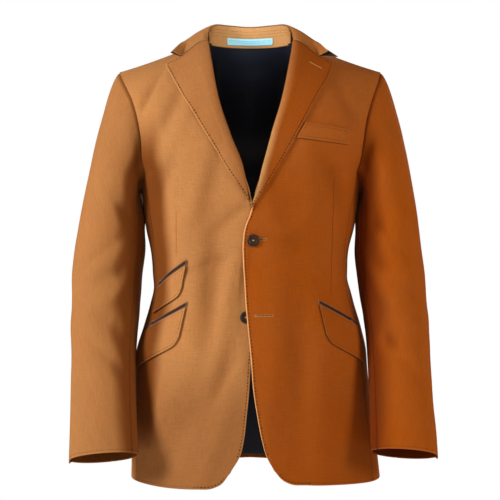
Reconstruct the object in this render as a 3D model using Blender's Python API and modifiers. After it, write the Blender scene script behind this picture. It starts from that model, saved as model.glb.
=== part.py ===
"""A single-breasted, two-button duck canvas jacket, filled out as if worn, with nobody in it.

Left and right are the wearer's. +X is the wearer's left, -Y is the front and +Z is up. The origin is the
middle of the neck, level with the neck ends of the shoulder seams. Lengths are in metres.
"""

import math
from collections import namedtuple

import bpy
import numpy as np
from mathutils import Vector
from mathutils.bvhtree import BVHTree

# ---------------------------------------------------------------- cloth and seams
CLOTH = 0.0018            # wall of the canvas, with its canvas interlining
FACED = 0.0022            # wall of lapel, collar and flap, which are two layers of cloth
LINING = 0.0012           # wall of the dark lining
SEAM = 0.0003             # clear gap between two pieces at a seam
LIE = 0.0004              # clear gap under a piece that lies on another
LINING_UP = 0.25          # share of the lowest row of cells that the lining is shorter than the back
LINING_DOWN = 0.16        # share of the highest row that it ends below the neck and shoulder seams
LINING_IN = 0.006         # twice how far the lining stops short of the back's side seams
# Mid-wall gaps of the seams whose walls meet at an angle, wide enough to leave SEAM clear.
SHOULDER_GAP = 0.0019
SIDE_GAP = 0.0006
SLEEVE_GAP = 0.0009
GORGE_GAP = 0.0018

# ---------------------------------------------------------------- body
SQUARENESS = 2.3          # exponent of the body's superellipse sections
HIP_RADIUS = 0.140        # distance from the body's axis that turns degrees round it into lengths
RISE_PULL = 1.05          # how far cloth rising from the armpit's height keeps its direction
ARMPIT = -0.225           # height where the side seams meet the armhole
ARMHOLE_DIP = 0.030       # how far the armhole falls below the side seams, under the arm
FRONT_SEAM = 74.0         # degrees round from centre front to the seam of front and side panel
BACK_SEAM = 112.0         # degrees round from centre front to the seam of side panel and back

Section = namedtuple("Section", "height right left front back")
BODY = (
    Section(-0.745, 0.2005, 0.2200, 0.1310, 0.1290),
    Section(-0.700, 0.1995, 0.2150, 0.1310, 0.1290),
    Section(-0.620, 0.1970, 0.2045, 0.1300, 0.1290),
    Section(-0.550, 0.1940, 0.1975, 0.1280, 0.1270),
    Section(-0.5225, 0.1910, 0.1955, 0.1270, 0.1240),
    Section(-0.485, 0.1795, 0.1870, 0.1245, 0.1170),
    Section(-0.440, 0.1670, 0.1740, 0.1210, 0.1050),
    Section(-0.395, 0.1640, 0.1650, 0.1190, 0.0970),
    Section(-0.355, 0.1655, 0.1645, 0.1185, 0.0945),
    Section(-0.320, 0.1705, 0.1705, 0.1195, 0.0970),
    Section(-0.280, 0.1770, 0.1780, 0.1220, 0.1040),
    Section(-0.225, 0.1860, 0.1880, 0.1240, 0.1150),
    Section(-0.180, 0.1890, 0.1910, 0.1230, 0.1210),
)

# The hem's height by degrees round from centre front.
HemPoint = namedtuple("HemPoint", "around height")
HEM_BACK = (
    HemPoint(60, -0.7400),
    HemPoint(74, -0.7385),
    HemPoint(112, -0.7350),
    HemPoint(150, -0.7290),
    HemPoint(180, -0.7260),
)

# The front edge, from the middle of its round lower corner up to the armpit's height.
EdgePoint = namedtuple("EdgePoint", "height across")
EDGE_RIGHT = (
    EdgePoint(-0.7140, -0.0325),
    EdgePoint(-0.6890, -0.0170),
    EdgePoint(-0.6580, -0.0094),
    EdgePoint(-0.6250, -0.0056),
    EdgePoint(-0.5860, -0.0017),
    EdgePoint(-0.5350, 0.0020),
    EdgePoint(-0.4630, 0.0115),
    EdgePoint(-0.3390, 0.0214),
    EdgePoint(-0.3100, 0.0160),
    EdgePoint(-0.2805, 0.0046),
    EdgePoint(-0.2580, -0.0010),
    EdgePoint(-0.2250, -0.0114),
)
EDGE_LEFT = (
    EdgePoint(-0.7096, 0.0391),
    EdgePoint(-0.6886, 0.0273),
    EdgePoint(-0.6630, 0.0197),
    EdgePoint(-0.6240, 0.0120),
    EdgePoint(-0.5760, 0.0048),
    EdgePoint(-0.5350, 0.0018),
    EdgePoint(-0.4775, -0.0038),
    EdgePoint(-0.4485, -0.0065),
    EdgePoint(-0.4040, -0.0093),
    EdgePoint(-0.3728, -0.0112),
    EdgePoint(-0.3437, -0.0115),
    EdgePoint(-0.3172, -0.0077),
    EdgePoint(-0.2963, 0.0004),
    EdgePoint(-0.2694, 0.0066),
    EdgePoint(-0.2250, 0.0195),
)
# The hem of each front, from its corner (share 0) to the side panel (share 1).
HemShare = namedtuple("HemShare", "share right left")
HEM_FRONT = (
    HemShare(0.00, -0.7140, -0.7096),
    HemShare(0.08, -0.7300, -0.7235),
    HemShare(0.18, -0.7385, -0.7320),
    HemShare(0.35, -0.7410, -0.7345),
    HemShare(0.70, -0.7415, -0.7370),
    HemShare(1.00, -0.7385, -0.7385),
)
# How far the left front stands off the right front where it laps over it.
LapPoint = namedtuple("LapPoint", "height lift")
LAP = (
    LapPoint(-0.745, 0.0024),
    LapPoint(-0.600, 0.0040),
    LapPoint(-0.500, 0.0078),
    LapPoint(-0.463, 0.0082),
    LapPoint(-0.420, 0.0060),
    LapPoint(-0.340, 0.0026),
    LapPoint(-0.280, 0.0026),
    LapPoint(-0.225, 0.0012),
)
LAP_REACH = (0.030, 0.095)    # across from the centre, where the lap begins to fade and where it is gone

# Roll line above the armpit: where the lapel folds out of the front.
RollPoint = namedtuple("RollPoint", "height depth right left")
ROLL = (
    RollPoint(-0.2080, 0.1212, 0.0174, 0.0255),
    RollPoint(-0.1650, 0.1150, 0.0345, 0.0368),
    RollPoint(-0.1040, 0.0990, 0.0535, 0.0545),
    RollPoint(-0.0560, 0.0770, 0.0622, 0.0650),
    RollPoint(-0.0300, 0.0560, 0.0655, 0.0690),
    RollPoint(-0.0120, 0.0360, 0.0690, 0.0715),
)
NECK_POINT = (0.0790, 0.0020, 0.0000)       # neck end of the left shoulder seam
SHOULDER_POINT = (0.2226, 0.0060, -0.0530)  # sleeve end of the left shoulder seam
SHOULDER_SAG = 0.0030                       # how far the seam dips between its ends
FRONT_LEAN_BACK = (0.95, 1.15)              # a front's lean at the seam, backwards, at its neck and sleeve ends
FRONT_LEAN_UP = (0.35, 0.26)                # and upwards
BACK_LEAN_FRONT = (1.10, 0.45)              # the lean of the back at the seam, forwards, at sleeve and neck
BACK_LEAN_UP = (0.26, 0.95)                 # and upwards
BACK_NECK = (0.0, 0.0600, -0.0030)          # the neck seam at centre back
BODY_MIDDLE = Vector((0.0, 0.0, -0.15))     # a point inside the chest

# Armhole seam, from the side seam up to the shoulder point.
ArmholePoint = namedtuple("ArmholePoint", "height depth right left")
ARMHOLE_FRONT = (
    ArmholePoint(-0.2040, 0.0570, 0.1790, 0.1830),
    ArmholePoint(-0.1760, 0.0600, 0.1800, 0.1875),
    ArmholePoint(-0.1400, 0.0565, 0.1858, 0.1930),
    ArmholePoint(-0.1060, 0.0450, 0.1960, 0.2030),
    ArmholePoint(-0.0760, 0.0250, 0.2110, 0.2145),
)
ARMHOLE_BACK = (
    ArmholePoint(-0.1950, 0.0750, 0.1700, 0.1720),
    ArmholePoint(-0.1550, 0.0770, 0.1760, 0.1780),
    ArmholePoint(-0.1150, 0.0660, 0.1900, 0.1920),
    ArmholePoint(-0.0800, 0.0400, 0.2080, 0.2100),
)

# Soft folds of the body: a trough (depth above 0) or a ridge across the cloth.
Fold = namedtuple("Fold", "around height length width slope depth")
BODY_FOLDS = (
    Fold(30, -0.365, 0.110, 0.018, 0.30, 0.0022),
    Fold(42, -0.300, 0.120, 0.020, 0.80, -0.0020),
    Fold(60, -0.420, 0.080, 0.022, -0.30, 0.0030),
    Fold(-34, -0.372, 0.110, 0.018, 0.25, 0.0022),
    Fold(-46, -0.305, 0.120, 0.020, 0.70, -0.0022),
    Fold(-62, -0.430, 0.080, 0.022, -0.35, 0.0030),
    Fold(150, -0.380, 0.110, 0.020, 0.20, 0.0035),
    Fold(-148, -0.400, 0.110, 0.022, 0.25, 0.0035),
)

# ---------------------------------------------------------------- sleeves
# Rings of a sleeve: height, outer and inner side across, depth forward, half depth and tilt forward.
Ring = namedtuple("Ring", "height outer inner forward half_depth tilt roll")
SLEEVE_RIGHT = (
    Ring(-0.310, 0.2888, 0.1765, 0.002, 0.0720, 2, 0),
    Ring(-0.355, 0.2965, 0.1775, 0.002, 0.0690, 3, 0),
    Ring(-0.396, 0.3004, 0.1833, 0.006, 0.0655, 6, 0),
    Ring(-0.440, 0.2996, 0.1850, 0.018, 0.0615, 12, 0),
    Ring(-0.491, 0.2979, 0.1885, 0.040, 0.0570, 18, 0),
    Ring(-0.544, 0.2957, 0.1895, 0.062, 0.0510, 20, 0),
    Ring(-0.598, 0.2936, 0.1880, 0.082, 0.0450, 20, 1),
    Ring(-0.650, 0.2926, 0.1845, 0.101, 0.0400, 20, 3),
    Ring(-0.691, 0.2923, 0.1814, 0.116, 0.0360, 20, 5),
)
SLEEVE_LEFT = (
    Ring(-0.310, 0.2844, 0.1783, 0.002, 0.0720, 2, 0),
    Ring(-0.355, 0.2899, 0.1776, 0.002, 0.0690, 3, 0),
    Ring(-0.396, 0.2950, 0.1822, 0.006, 0.0655, 6, 0),
    Ring(-0.440, 0.2967, 0.1870, 0.018, 0.0615, 12, 0),
    Ring(-0.491, 0.2985, 0.1937, 0.040, 0.0570, 18, 0),
    Ring(-0.544, 0.2980, 0.1956, 0.062, 0.0510, 20, 0),
    Ring(-0.598, 0.2999, 0.1968, 0.082, 0.0450, 20, 1),
    Ring(-0.650, 0.3025, 0.1968, 0.101, 0.0400, 20, 2),
    Ring(-0.685, 0.3037, 0.1967, 0.113, 0.0360, 20, 4),
)
# How far the sleeve's first ring stands out of the armhole: at the top, front, under the arm and back.
CAP_STAND = (0.0014, 0.0020, 0.0027, 0.0020, 0.0014)
CAP_TOP = (0.055, 0.000, -0.045)     # pull of the sleeve head at the shoulder point
CAP_FRONT = (0.050, -0.020, -0.030)  # pull at the front of the armhole
CAP_UNDER = (0.030, 0.000, -0.002)   # pull under the arm
CAP_BACK = (0.050, 0.030, -0.030)    # pull at the back of the armhole
CAP_REACH = 1.15          # length of the pull at the first full ring, in distances to the armhole
SLEEVE_LENGTH = 0.64       # height from the shoulder point to the cuff, which folds are placed along
HEAD_FADE = (0.03, 0.12)   # shares of that length over which folds grow below the shoulder
CUFF_FADE = (0.90, 1.00)   # and over which they fade towards the cuff
SEAM_HOLD = 0.08           # share of the way round within which a sleeve's seam holds its folds flat
UNDER_SLEEVE = (0.41, 0.72)          # shares round the sleeve where the under sleeve begins and ends

# Folds of a sleeve: along (0 shoulder to 1 cuff), degrees round from its outer side towards the front.
SleeveFold = namedtuple("SleeveFold", "along around span width slope depth")
FOLDS_RIGHT = (
    SleeveFold(0.17, 60, 45, 0.030, 0.05, 0.0040),
    SleeveFold(0.27, 70, 50, 0.028, 0.06, -0.0035),
    SleeveFold(0.36, 110, 60, 0.030, 0.05, 0.0050),
    SleeveFold(0.55, 100, 60, 0.022, -0.04, 0.0055),
    SleeveFold(0.61, 80, 60, 0.020, -0.05, -0.0040),
    SleeveFold(0.66, 110, 50, 0.020, 0.04, 0.0045),
    SleeveFold(0.80, 60, 60, 0.030, 0.05, 0.0025),
    SleeveFold(0.50, 260, 60, 0.035, 0.03, -0.0030),
    SleeveFold(0.30, 280, 50, 0.030, -0.05, 0.0035),
)
FOLDS_LEFT = (
    SleeveFold(0.16, 62, 45, 0.030, 0.06, 0.0038),
    SleeveFold(0.26, 75, 50, 0.030, 0.05, -0.0035),
    SleeveFold(0.38, 105, 60, 0.030, 0.05, 0.0045),
    SleeveFold(0.54, 95, 60, 0.024, -0.05, 0.0045),
    SleeveFold(0.60, 85, 60, 0.022, -0.04, -0.0035),
    SleeveFold(0.68, 110, 50, 0.022, 0.05, 0.0035),
    SleeveFold(0.82, 70, 60, 0.030, -0.05, 0.0025),
    SleeveFold(0.52, 262, 60, 0.035, 0.03, -0.0030),
    SleeveFold(0.28, 284, 50, 0.030, -0.05, 0.0035),
)

# ---------------------------------------------------------------- lapels and collar
# Outer edge of each lapel from the break (share 0) to its tip, then its top along the notch and gorge.
LapelRow = namedtuple("LapelRow", "share roll_x roll_z edge_x edge_z")
LAPEL_RIGHT = (
    LapelRow(0.00, -0.0005, -0.2740, -0.0030, -0.2745),
    LapelRow(0.25, -0.0150, -0.2140, -0.0375, -0.2235),
    LapelRow(0.50, -0.0345, -0.1640, -0.0735, -0.1640),
    LapelRow(0.75, -0.0545, -0.0990, -0.1105, -0.1020),
    LapelRow(0.90, -0.0650, -0.0370, -0.1300, -0.0690),
    LapelRow(1.00, -0.0702, -0.0050, -0.1405, -0.0475),
)
LAPEL_LEFT = (
    LapelRow(0.00, 0.0050, -0.2780, 0.0005, -0.2910),
    LapelRow(0.25, 0.0235, -0.2150, 0.0450, -0.2230),
    LapelRow(0.50, 0.0372, -0.1640, 0.0775, -0.1660),
    LapelRow(0.75, 0.0555, -0.0990, 0.1115, -0.1020),
    LapelRow(0.90, 0.0672, -0.0370, 0.1300, -0.0700),
    LapelRow(1.00, 0.0722, -0.0050, 0.1400, -0.0450),
)
NOTCH = (0.1125, -0.0345)       # inner corner of the notch, across and height
GORGE_SHARE = 0.62              # the notch's share of the way across the lapel's top
# Section of a lapel or collar off the panel below: share across, sideways shift, lift off the panel.
RollStep = namedtuple("RollStep", "share shift lift")
LAPEL_ROLL = (
    RollStep(0.000, -0.0022, 0.0032),
    RollStep(0.060, -0.0014, 0.0052),
    RollStep(0.160, 0.0000, 0.0062),
    RollStep(0.350, 0.0000, 0.0052),
    RollStep(0.700, 0.0000, 0.0038),
    RollStep(1.000, 0.0000, 0.0028),
)
GORGE_AWAY = (0.75, 0.56, 0.33)  # direction from the left gorge seam into the collar, along the cloth
GORGE_LIFT = 0.0012             # how much higher the lapel lies where the collar joins it

# Collar, left half from the gorge to centre back: neck seam, roll edge and outer edge.
CollarRow = namedtuple("CollarRow", "share seam roll edge")
COLLAR = (
    CollarRow(0.00, (0.0690, -0.0230, -0.0040), (0.0715, -0.0215, 0.0050), (0.1305, -0.0500, -0.0235)),
    CollarRow(0.22, (0.0720, -0.0050, 0.0005), (0.0705, -0.0030, 0.0150), (0.1160, -0.0120, -0.0050)),
    CollarRow(0.42, (0.0735, 0.0160, 0.0010), (0.0665, 0.0140, 0.0250), (0.1010, 0.0270, -0.0010)),
    CollarRow(0.62, (0.0585, 0.0365, -0.0005), (0.0560, 0.0335, 0.0325), (0.0790, 0.0610, -0.0080)),
    CollarRow(0.80, (0.0350, 0.0495, -0.0015), (0.0350, 0.0455, 0.0325), (0.0450, 0.0760, -0.0130)),
    CollarRow(1.00, (0.0000, 0.0540, -0.0020), (0.0000, 0.0500, 0.0305), (0.0000, 0.0800, -0.0150)),
)
STAND_STOP = 2             # columns that the stand stops short of the gorge
STAND_IN = 0.0028          # how far the stand's ends keep inside the fall's roll
STAND_FADE = (0.000, 0.030)  # depth from which to which that fades
COLLAR_CREST = 0.0060      # how far the fall bulges over its straight line just outside the roll
CREST_SHAPE = 2.6          # makes the greatest value of the bulge's curve 1
COLLAR_MIDDLE = (0.0, -0.02, -0.06)  # the point that the bulge faces away from
GORGE_REACH = 0.16         # share of the collar within which its end bends to the gorge
FALL_LIFT = 0.0044         # least distance of the fall's middle from the cloth under it
NEAR = 0.020               # a point farther from a panel than this isn't moved out of it
EDGE_SLIP = 0.0015         # a collar point this far sideways off the nearest cloth lies past its edge
EDGE_STEPS = 8             # millimetres searched outwards for the cloth beside a point past its edge
NECK_SIDE_DEPTH = -0.0185  # depth of the lapel's upper end beside the neck
UNDER_LIFT = 0.0020        # least distance of the under collar's middle from the cloth under it
UNDER_ROWS = 2             # rows of the fall, next to the roll, that the under collar stops short of
UNDER_PEEP_LEFT = 0.0045   # how far the under collar peeps out at the left notch
UNDER_PEEP_RIGHT = 0.0015  # and at the right one
PEEP_AWAY = (0.0, -0.75, -0.62)  # direction in which it peeps out
UNDER_TUCK = 0.20          # share of its first column that it stays back along the gorge seams
LABEL_SHARE = 0.23         # the neck label's share of the collar's length
LABEL_RISE = (0.04, 0.40)  # its lower and upper edge, in shares of the stand's height

# ---------------------------------------------------------------- pockets and buttons
# A flap's top edge by degrees round from centre front and height, then how far it falls at each end.
Flap = namedtuple("Flap", "word side inner_around inner_height outer_around outer_height fall_in fall_out")
FLAPS = (
    Flap("right", -1, 43.5, -0.4480, 77.0, -0.4950, 0.0610, 0.0600),
    Flap("ticket", -1, 44.8, -0.3800, 70.0, -0.4180, 0.0480, 0.0440),
    Flap("left", 1, 48.0, -0.4440, 74.5, -0.4830, 0.0600, 0.0600),
)
FLAP_CORNER = 0.012        # radius of a flap's inner lower corner
FLAP_LEAN = 0.005          # how far a flap's inner edge leans outwards as it falls
PIPING_WIDTH = 0.0062
# The chest welt in the front view: lower edge from inner to outer end (across, height), and its two heights.
WELT_INNER = (0.0745, -0.1742)
WELT_OUTER = (0.1610, -0.1832)
WELT_TALL = (0.0270, 0.0262)
WELT_LEAN = 0.0155         # how far the welt's inner end leans outwards as it rises
BUTTON_RADIUS = 0.0100
BUTTON_THICK = 0.0042
BUTTON_TURNS = 18             # steps round a button
BUTTON_UPPER = (0.0051, -0.3395)
BUTTON_LOWER = (-0.0060, -0.4640)
# Half section of a button from the middle of its face round its rim to its back, in shares of its size.
ButtonPoint = namedtuple("ButtonPoint", "radius rise")
BUTTON = (
    ButtonPoint(0.00, 0.72),
    ButtonPoint(0.48, 0.72),
    ButtonPoint(0.60, 0.80),
    ButtonPoint(0.74, 1.00),
    ButtonPoint(0.92, 0.92),
    ButtonPoint(1.00, 0.55),
    ButtonPoint(0.90, 0.12),
    ButtonPoint(0.60, 0.00),
    ButtonPoint(0.00, 0.00),
)

# ---------------------------------------------------------------- how finely each surface is divided
FRONT_GRID = (13, 20, 12)     # columns, rows below the armpit, rows above it
FINE_FRONT = (50, 60, 60)     # the same, of the smooth front that pieces are laid on
SIDE_GRID = (5, 17)           # columns, rows
BACK_GRID = (5, 4, 14, 11)    # columns under half a shoulder seam and neck, rows below and above the armpit
TOP_SLEEVE_COLUMNS = 14
UNDER_SLEEVE_COLUMNS = 7
SLEEVE_ROWS = (9, 20)         # rows of the sleeve head and of the arm
LAPEL_GRID = (17, 8)          # rows, columns
COLLAR_COLUMNS = 27
STAND_ROWS = (0.0, 0.35, 0.7, 1.0)
FALL_ROWS = (0.0, 0.06, 0.16, 0.34, 0.50, 0.62, 0.82, 1.0)
LABEL_COLUMNS = 9
FLAP_COLUMNS = (0.0, 0.04, 0.10, 0.20, 0.36, 0.52, 0.68, 0.84, 1.0)
FLAP_ROWS = 6

# ---------------------------------------------------------------- finish
CANVAS = (0.46, 0.19, 0.035)
DARK = (0.045, 0.020, 0.012)
INK = (0.012, 0.012, 0.018)
PALE_BLUE = (0.38, 0.74, 0.86)


# ================================================================ curves and surfaces
def through(keys, values):
    """A smooth curve through the values at the keys."""
    keys = np.asarray(keys, float)
    values = np.asarray(values, float)
    order = np.argsort(keys)
    keys = keys[order]
    values = values[order]
    slopes = np.gradient(values, keys, axis=0)

    def at(key):
        key = np.clip(np.asarray(key, float), keys[0], keys[-1])
        i = np.clip(np.searchsorted(keys, key) - 1, 0, len(keys) - 2)
        step = keys[i + 1] - keys[i]
        t = (key - keys[i]) / step
        shape = t.shape + (1,) * (values.ndim - 1)
        t = t.reshape(shape)
        step = step.reshape(shape)
        start = values[i] * (1 + 2 * t) * (1 - t) ** 2 + slopes[i] * step * t * (1 - t) ** 2
        end = values[i + 1] * t * t * (3 - 2 * t) + slopes[i + 1] * step * t * t * (t - 1)
        return start + end

    return at


def column(table, key, value):
    """A table's column as a smooth curve over its key column."""
    return through([getattr(row, key) for row in table], [getattr(row, value) for row in table])


def by_length(points):
    """A smooth curve through points, with its parameter from 0 to 1 by distance."""
    points = np.asarray(points, float)
    steps = np.linalg.norm(np.diff(points, axis=0), axis=1)
    keys = np.concatenate(([0.0], np.cumsum(steps)))
    return through(keys / keys[-1], points)


def pull(start, start_pull, end, end_pull, t):
    """Points from start to end that leave and arrive along the two pulls."""
    t = np.asarray(t, float)[..., None]
    return (
        start * (1 + 2 * t) * (1 - t) ** 2
        + start_pull * t * (1 - t) ** 2
        + end * t * t * (3 - 2 * t)
        - end_pull * t * t * (1 - t)
    )


def mix(first, second, share):
    """A share of the way from first to second."""
    return first + (second - first) * share


def ease(value, low, high):
    """0 below low, 1 above high, smooth between."""
    t = np.clip((value - low) / (high - low), 0.0, 1.0)
    return t * t * (3 - 2 * t)


WIDTH_RIGHT = column(BODY, "height", "right")
WIDTH_LEFT = column(BODY, "height", "left")
DEPTH_FRONT = column(BODY, "height", "front")
DEPTH_BACK = column(BODY, "height", "back")
LAP_LIFT = column(LAP, "height", "lift")


def reach(around, height):
    """Distance of the body's section from its axis, at degrees round from centre front."""
    angle = np.radians(around)
    width = np.where(np.sin(angle) < 0, WIDTH_RIGHT(height), WIDTH_LEFT(height))
    depth = np.where(np.cos(angle) > 0, DEPTH_FRONT(height), DEPTH_BACK(height))
    sideways = (np.abs(np.sin(angle)) / width) ** SQUARENESS
    lengthways = (np.abs(np.cos(angle)) / depth) ** SQUARENESS
    return (sideways + lengthways) ** (-1.0 / SQUARENESS)


def body_fold(around, height):
    """How far the body's folds lower the cloth at a point."""
    total = 0.0
    for fold in BODY_FOLDS:
        along = np.radians(around - fold.around) * HIP_RADIUS
        across = height - fold.height - fold.slope * along
        total = total + fold.depth * np.exp(-((across / fold.width) ** 2) - (along / fold.length * 2) ** 2)
    return total


def body(around, height):
    """A point of the body's cloth, at degrees round from centre front towards the left."""
    around, height = np.broadcast_arrays(np.asarray(around, float), np.asarray(height, float))
    radius = reach(around, height) - body_fold(around, height)
    angle = np.radians(around)
    return np.stack([radius * np.sin(angle), -radius * np.cos(angle), height], axis=-1)


def around_at(across, height):
    """Degrees round from centre front of the point of the front that lies at a distance across."""
    angle = np.zeros(np.broadcast(across, height).shape)
    for _ in range(12):
        angle = np.degrees(np.arcsin(np.clip(across / reach(angle, height), -1, 1)))
    return angle


def patch(left, right, bottom, top, across, up):
    """A patch between four edges: left and right run up, bottom and top run across."""
    s = np.asarray(across)[None, :, None]
    t = np.asarray(up)[:, None, None]
    lower = bottom[None, :, :]
    upper = top[None, :, :]
    one = left[:, None, :]
    other = right[:, None, :]
    corners = (
        (1 - s) * (1 - t) * bottom[0] + s * (1 - t) * bottom[-1] + (1 - s) * t * top[0] + s * t * top[-1]
    )
    return (1 - t) * lower + t * upper + (1 - s) * one + s * other - corners


def shares(count, lean=0.0):
    """Even shares from 0 to 1, drawn towards 0 by lean."""
    t = np.linspace(0.0, 1.0, count)
    return (1 - lean) * t + lean * t * t


# ================================================================ fronts, sides and back
def shoulder_seam(side, share):
    """The shoulder seam, from the neck point to the shoulder point."""
    neck = np.array(NECK_POINT) * (side, 1, 1)
    tip = np.array(SHOULDER_POINT) * (side, 1, 1)
    share = np.asarray(share)[..., None]
    return mix(neck, tip, share) - np.array([0, 0, SHOULDER_SAG]) * 4 * share * (1 - share)


def side_value(row, side):
    """The row's own value for a side."""
    return row.left if side > 0 else row.right


def roll_line(side):
    """The front's edge above the armpit, as a curve from the armpit's height to the neck point."""
    table = EDGE_LEFT if side > 0 else EDGE_RIGHT
    start = body(around_at(table[-1].across, ARMPIT), ARMPIT)
    rows = [(side * side_value(row, side), -row.depth, row.height) for row in ROLL]
    return by_length([start, *rows, np.array(NECK_POINT) * (side, 1, 1)])


def armhole_edge(side, table, around):
    """One arm of the armhole seam, from its side seam up to the shoulder point."""
    facing = -1 if around < 90 else 1
    start = body(side * around, ARMPIT)
    rows = [(side * side_value(row, side), facing * row.depth, row.height) for row in table]
    return by_length([start, *rows, np.array(SHOULDER_POINT) * (side, 1, 1)])


def rising_columns(around, tops, top_pull, up):
    """Columns of cloth from the armpit's height to given top points."""
    start = body(around, ARMPIT)
    below = body(around, ARMPIT - 0.01)
    direction = (start - below) / 0.01
    length = np.linalg.norm(tops - start, axis=-1)[:, None]
    up = np.asarray(up)[:, None]
    return pull(start[None], direction[None] * length[None] * RISE_PULL, tops[None],
                (top_pull * length)[None], up)


def fit_edges(points, first, last, across):
    """Moves a patch of columns so that its first and last columns follow two curves."""
    share = np.asarray(across)[None, :, None]
    off_first = (first - points[:, 0])[:, None]
    off_last = (last - points[:, -1])[:, None]
    return points + (1 - share) * off_first + share * off_last


def front(side, columns, low_rows, high_rows):
    """A front: rows from hem to shoulder seam, columns from the front edge to the side panel."""
    table = EDGE_LEFT if side > 0 else EDGE_RIGHT
    across = shares(columns, 0.15)
    up = shares(low_rows, -0.25)
    heights = mix(table[0].height, ARMPIT, up)
    seam_heights = mix(HEM_FRONT[-1].right, ARMPIT, up)
    edge = column(table, "height", "across")(heights)
    left = np.stack([around_at(edge, heights), heights], axis=-1)
    right = np.stack([np.full(low_rows, side * FRONT_SEAM), seam_heights], axis=-1)
    hem = column(HEM_FRONT, "share", "left" if side > 0 else "right")(across)
    bottom = np.stack([mix(left[0, 0], right[0, 0], across), hem], axis=-1)
    top = np.stack([mix(left[-1, 0], right[-1, 0], across), np.full(columns, ARMPIT)], axis=-1)
    lower = patch(left, right, bottom, top, across, up)
    low = body(lower[..., 0], lower[..., 1])

    rise = shares(high_rows, 0.0)
    tops = shoulder_seam(side, across)
    lean = np.stack([np.zeros(columns), mix(*FRONT_LEAN_BACK, across), mix(*FRONT_LEAN_UP, across)], axis=-1)
    high = rising_columns(top[:, 0], tops, lean, rise)
    high = fit_edges(high, roll_line(side)(rise), armhole_edge(side, ARMHOLE_FRONT, FRONT_SEAM)(rise), across)
    grid = np.concatenate([low, high[1:]])
    if side > 0:
        lift = LAP_LIFT(grid[..., 2]) * (1 - ease(np.abs(grid[..., 0]), *LAP_REACH))
        lift = lift * (1 - ease(grid[..., 2], ARMPIT - 0.02, ARMPIT + 0.06))
        grid[..., 1] -= lift
    return grid


def side_panel(side, columns, rows):
    """A side panel: rows from hem to armhole, columns from front to back."""
    across = shares(columns)
    around = side * mix(FRONT_SEAM, BACK_SEAM, across)
    hem = column(HEM_BACK, "around", "height")(np.abs(around))
    armhole = ARMPIT - ARMHOLE_DIP * np.sin(np.pi * across)
    heights = mix(hem[None], armhole[None], shares(rows, -0.25)[:, None])
    return body(np.broadcast_to(around, heights.shape), heights)


def back_panel(seam_columns, neck_columns, low_rows, high_rows):
    """The back: rows from hem to neck and shoulders, columns from the left side round to the right."""
    half = seam_columns + neck_columns
    share = np.linspace(0.0, 1.0, 2 * half + 1)
    around = mix(BACK_SEAM, 360.0 - BACK_SEAM, share)
    hem = column(HEM_BACK, "around", "height")(180 - np.abs(180 - around))
    heights = mix(hem[None], ARMPIT, shares(low_rows, -0.25)[:, None])
    low = body(np.broadcast_to(around, heights.shape), heights)

    seam = shoulder_seam(1, shares(seam_columns + 1))[::-1]
    neck = by_length([NECK_POINT, (0.060, 0.0400, -0.0010), (0.030, 0.0550, -0.0025), BACK_NECK])
    half_top = np.concatenate([seam, neck(shares(neck_columns + 1))[1:]])
    tops = np.concatenate([half_top, half_top[-2::-1] * (-1, 1, 1)])
    from_seam = 1 - ease(np.abs(2 * share - 1), 0.0, neck_columns / half)
    lean = np.stack([np.zeros(len(share)), -mix(*BACK_LEAN_FRONT, from_seam), mix(*BACK_LEAN_UP, from_seam)],
                    axis=-1)
    rise = shares(high_rows)
    high = rising_columns(around, tops, lean, rise)
    left_edge = armhole_edge(1, ARMHOLE_BACK, BACK_SEAM)(rise)
    right_edge = armhole_edge(-1, ARMHOLE_BACK, BACK_SEAM)(rise)
    high = fit_edges(high, left_edge, right_edge, share)
    return np.concatenate([low, high[1:]])


# ================================================================ sleeves
def armhole_ring(side):
    """The whole armhole seam, closed, from the shoulder point round the front and under the arm."""
    rise = shares(12)
    front_arm = armhole_edge(side, ARMHOLE_FRONT, FRONT_SEAM)(rise)[::-1]
    back_arm = armhole_edge(side, ARMHOLE_BACK, BACK_SEAM)(rise)
    under = shares(9)[1:-1]
    around = side * mix(FRONT_SEAM, BACK_SEAM, under)
    bottom = body(around, ARMPIT - ARMHOLE_DIP * np.sin(np.pi * under))
    return by_length(np.concatenate([front_arm, bottom, back_arm]))


def sleeve_ring(side, row, share):
    """Points of one ring of a sleeve, from its outer side round the front."""
    angle = 2 * np.pi * np.asarray(share)
    half_width = (row.outer - row.inner) / 2
    across = (row.outer + row.inner) / 2 + half_width * np.cos(angle)
    deep = row.half_depth * np.sin(angle)
    tilt = math.radians(row.tilt)
    roll = math.radians(row.roll)
    height = row.height + deep * math.sin(tilt) - half_width * np.cos(angle) * math.sin(roll)
    return np.stack([side * across, -row.forward - deep * math.cos(tilt), height], axis=-1)


def sleeve_fold(table, along, share):
    """How far the sleeve's folds lower the cloth."""
    total = 0.0
    around = np.asarray(share) * 360.0
    for fold in table:
        off = (around - fold.around + 180.0) % 360.0 - 180.0
        across = (along - fold.along - fold.slope * off / fold.span) * SLEEVE_LENGTH
        total = total + fold.depth * np.exp(-((across / fold.width) ** 2) - (off / fold.span) ** 2)
    for seam in UNDER_SLEEVE:
        total = total * ease(np.abs(np.asarray(share) % 1.0 - seam), 0.0, SEAM_HOLD)
    return total


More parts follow.
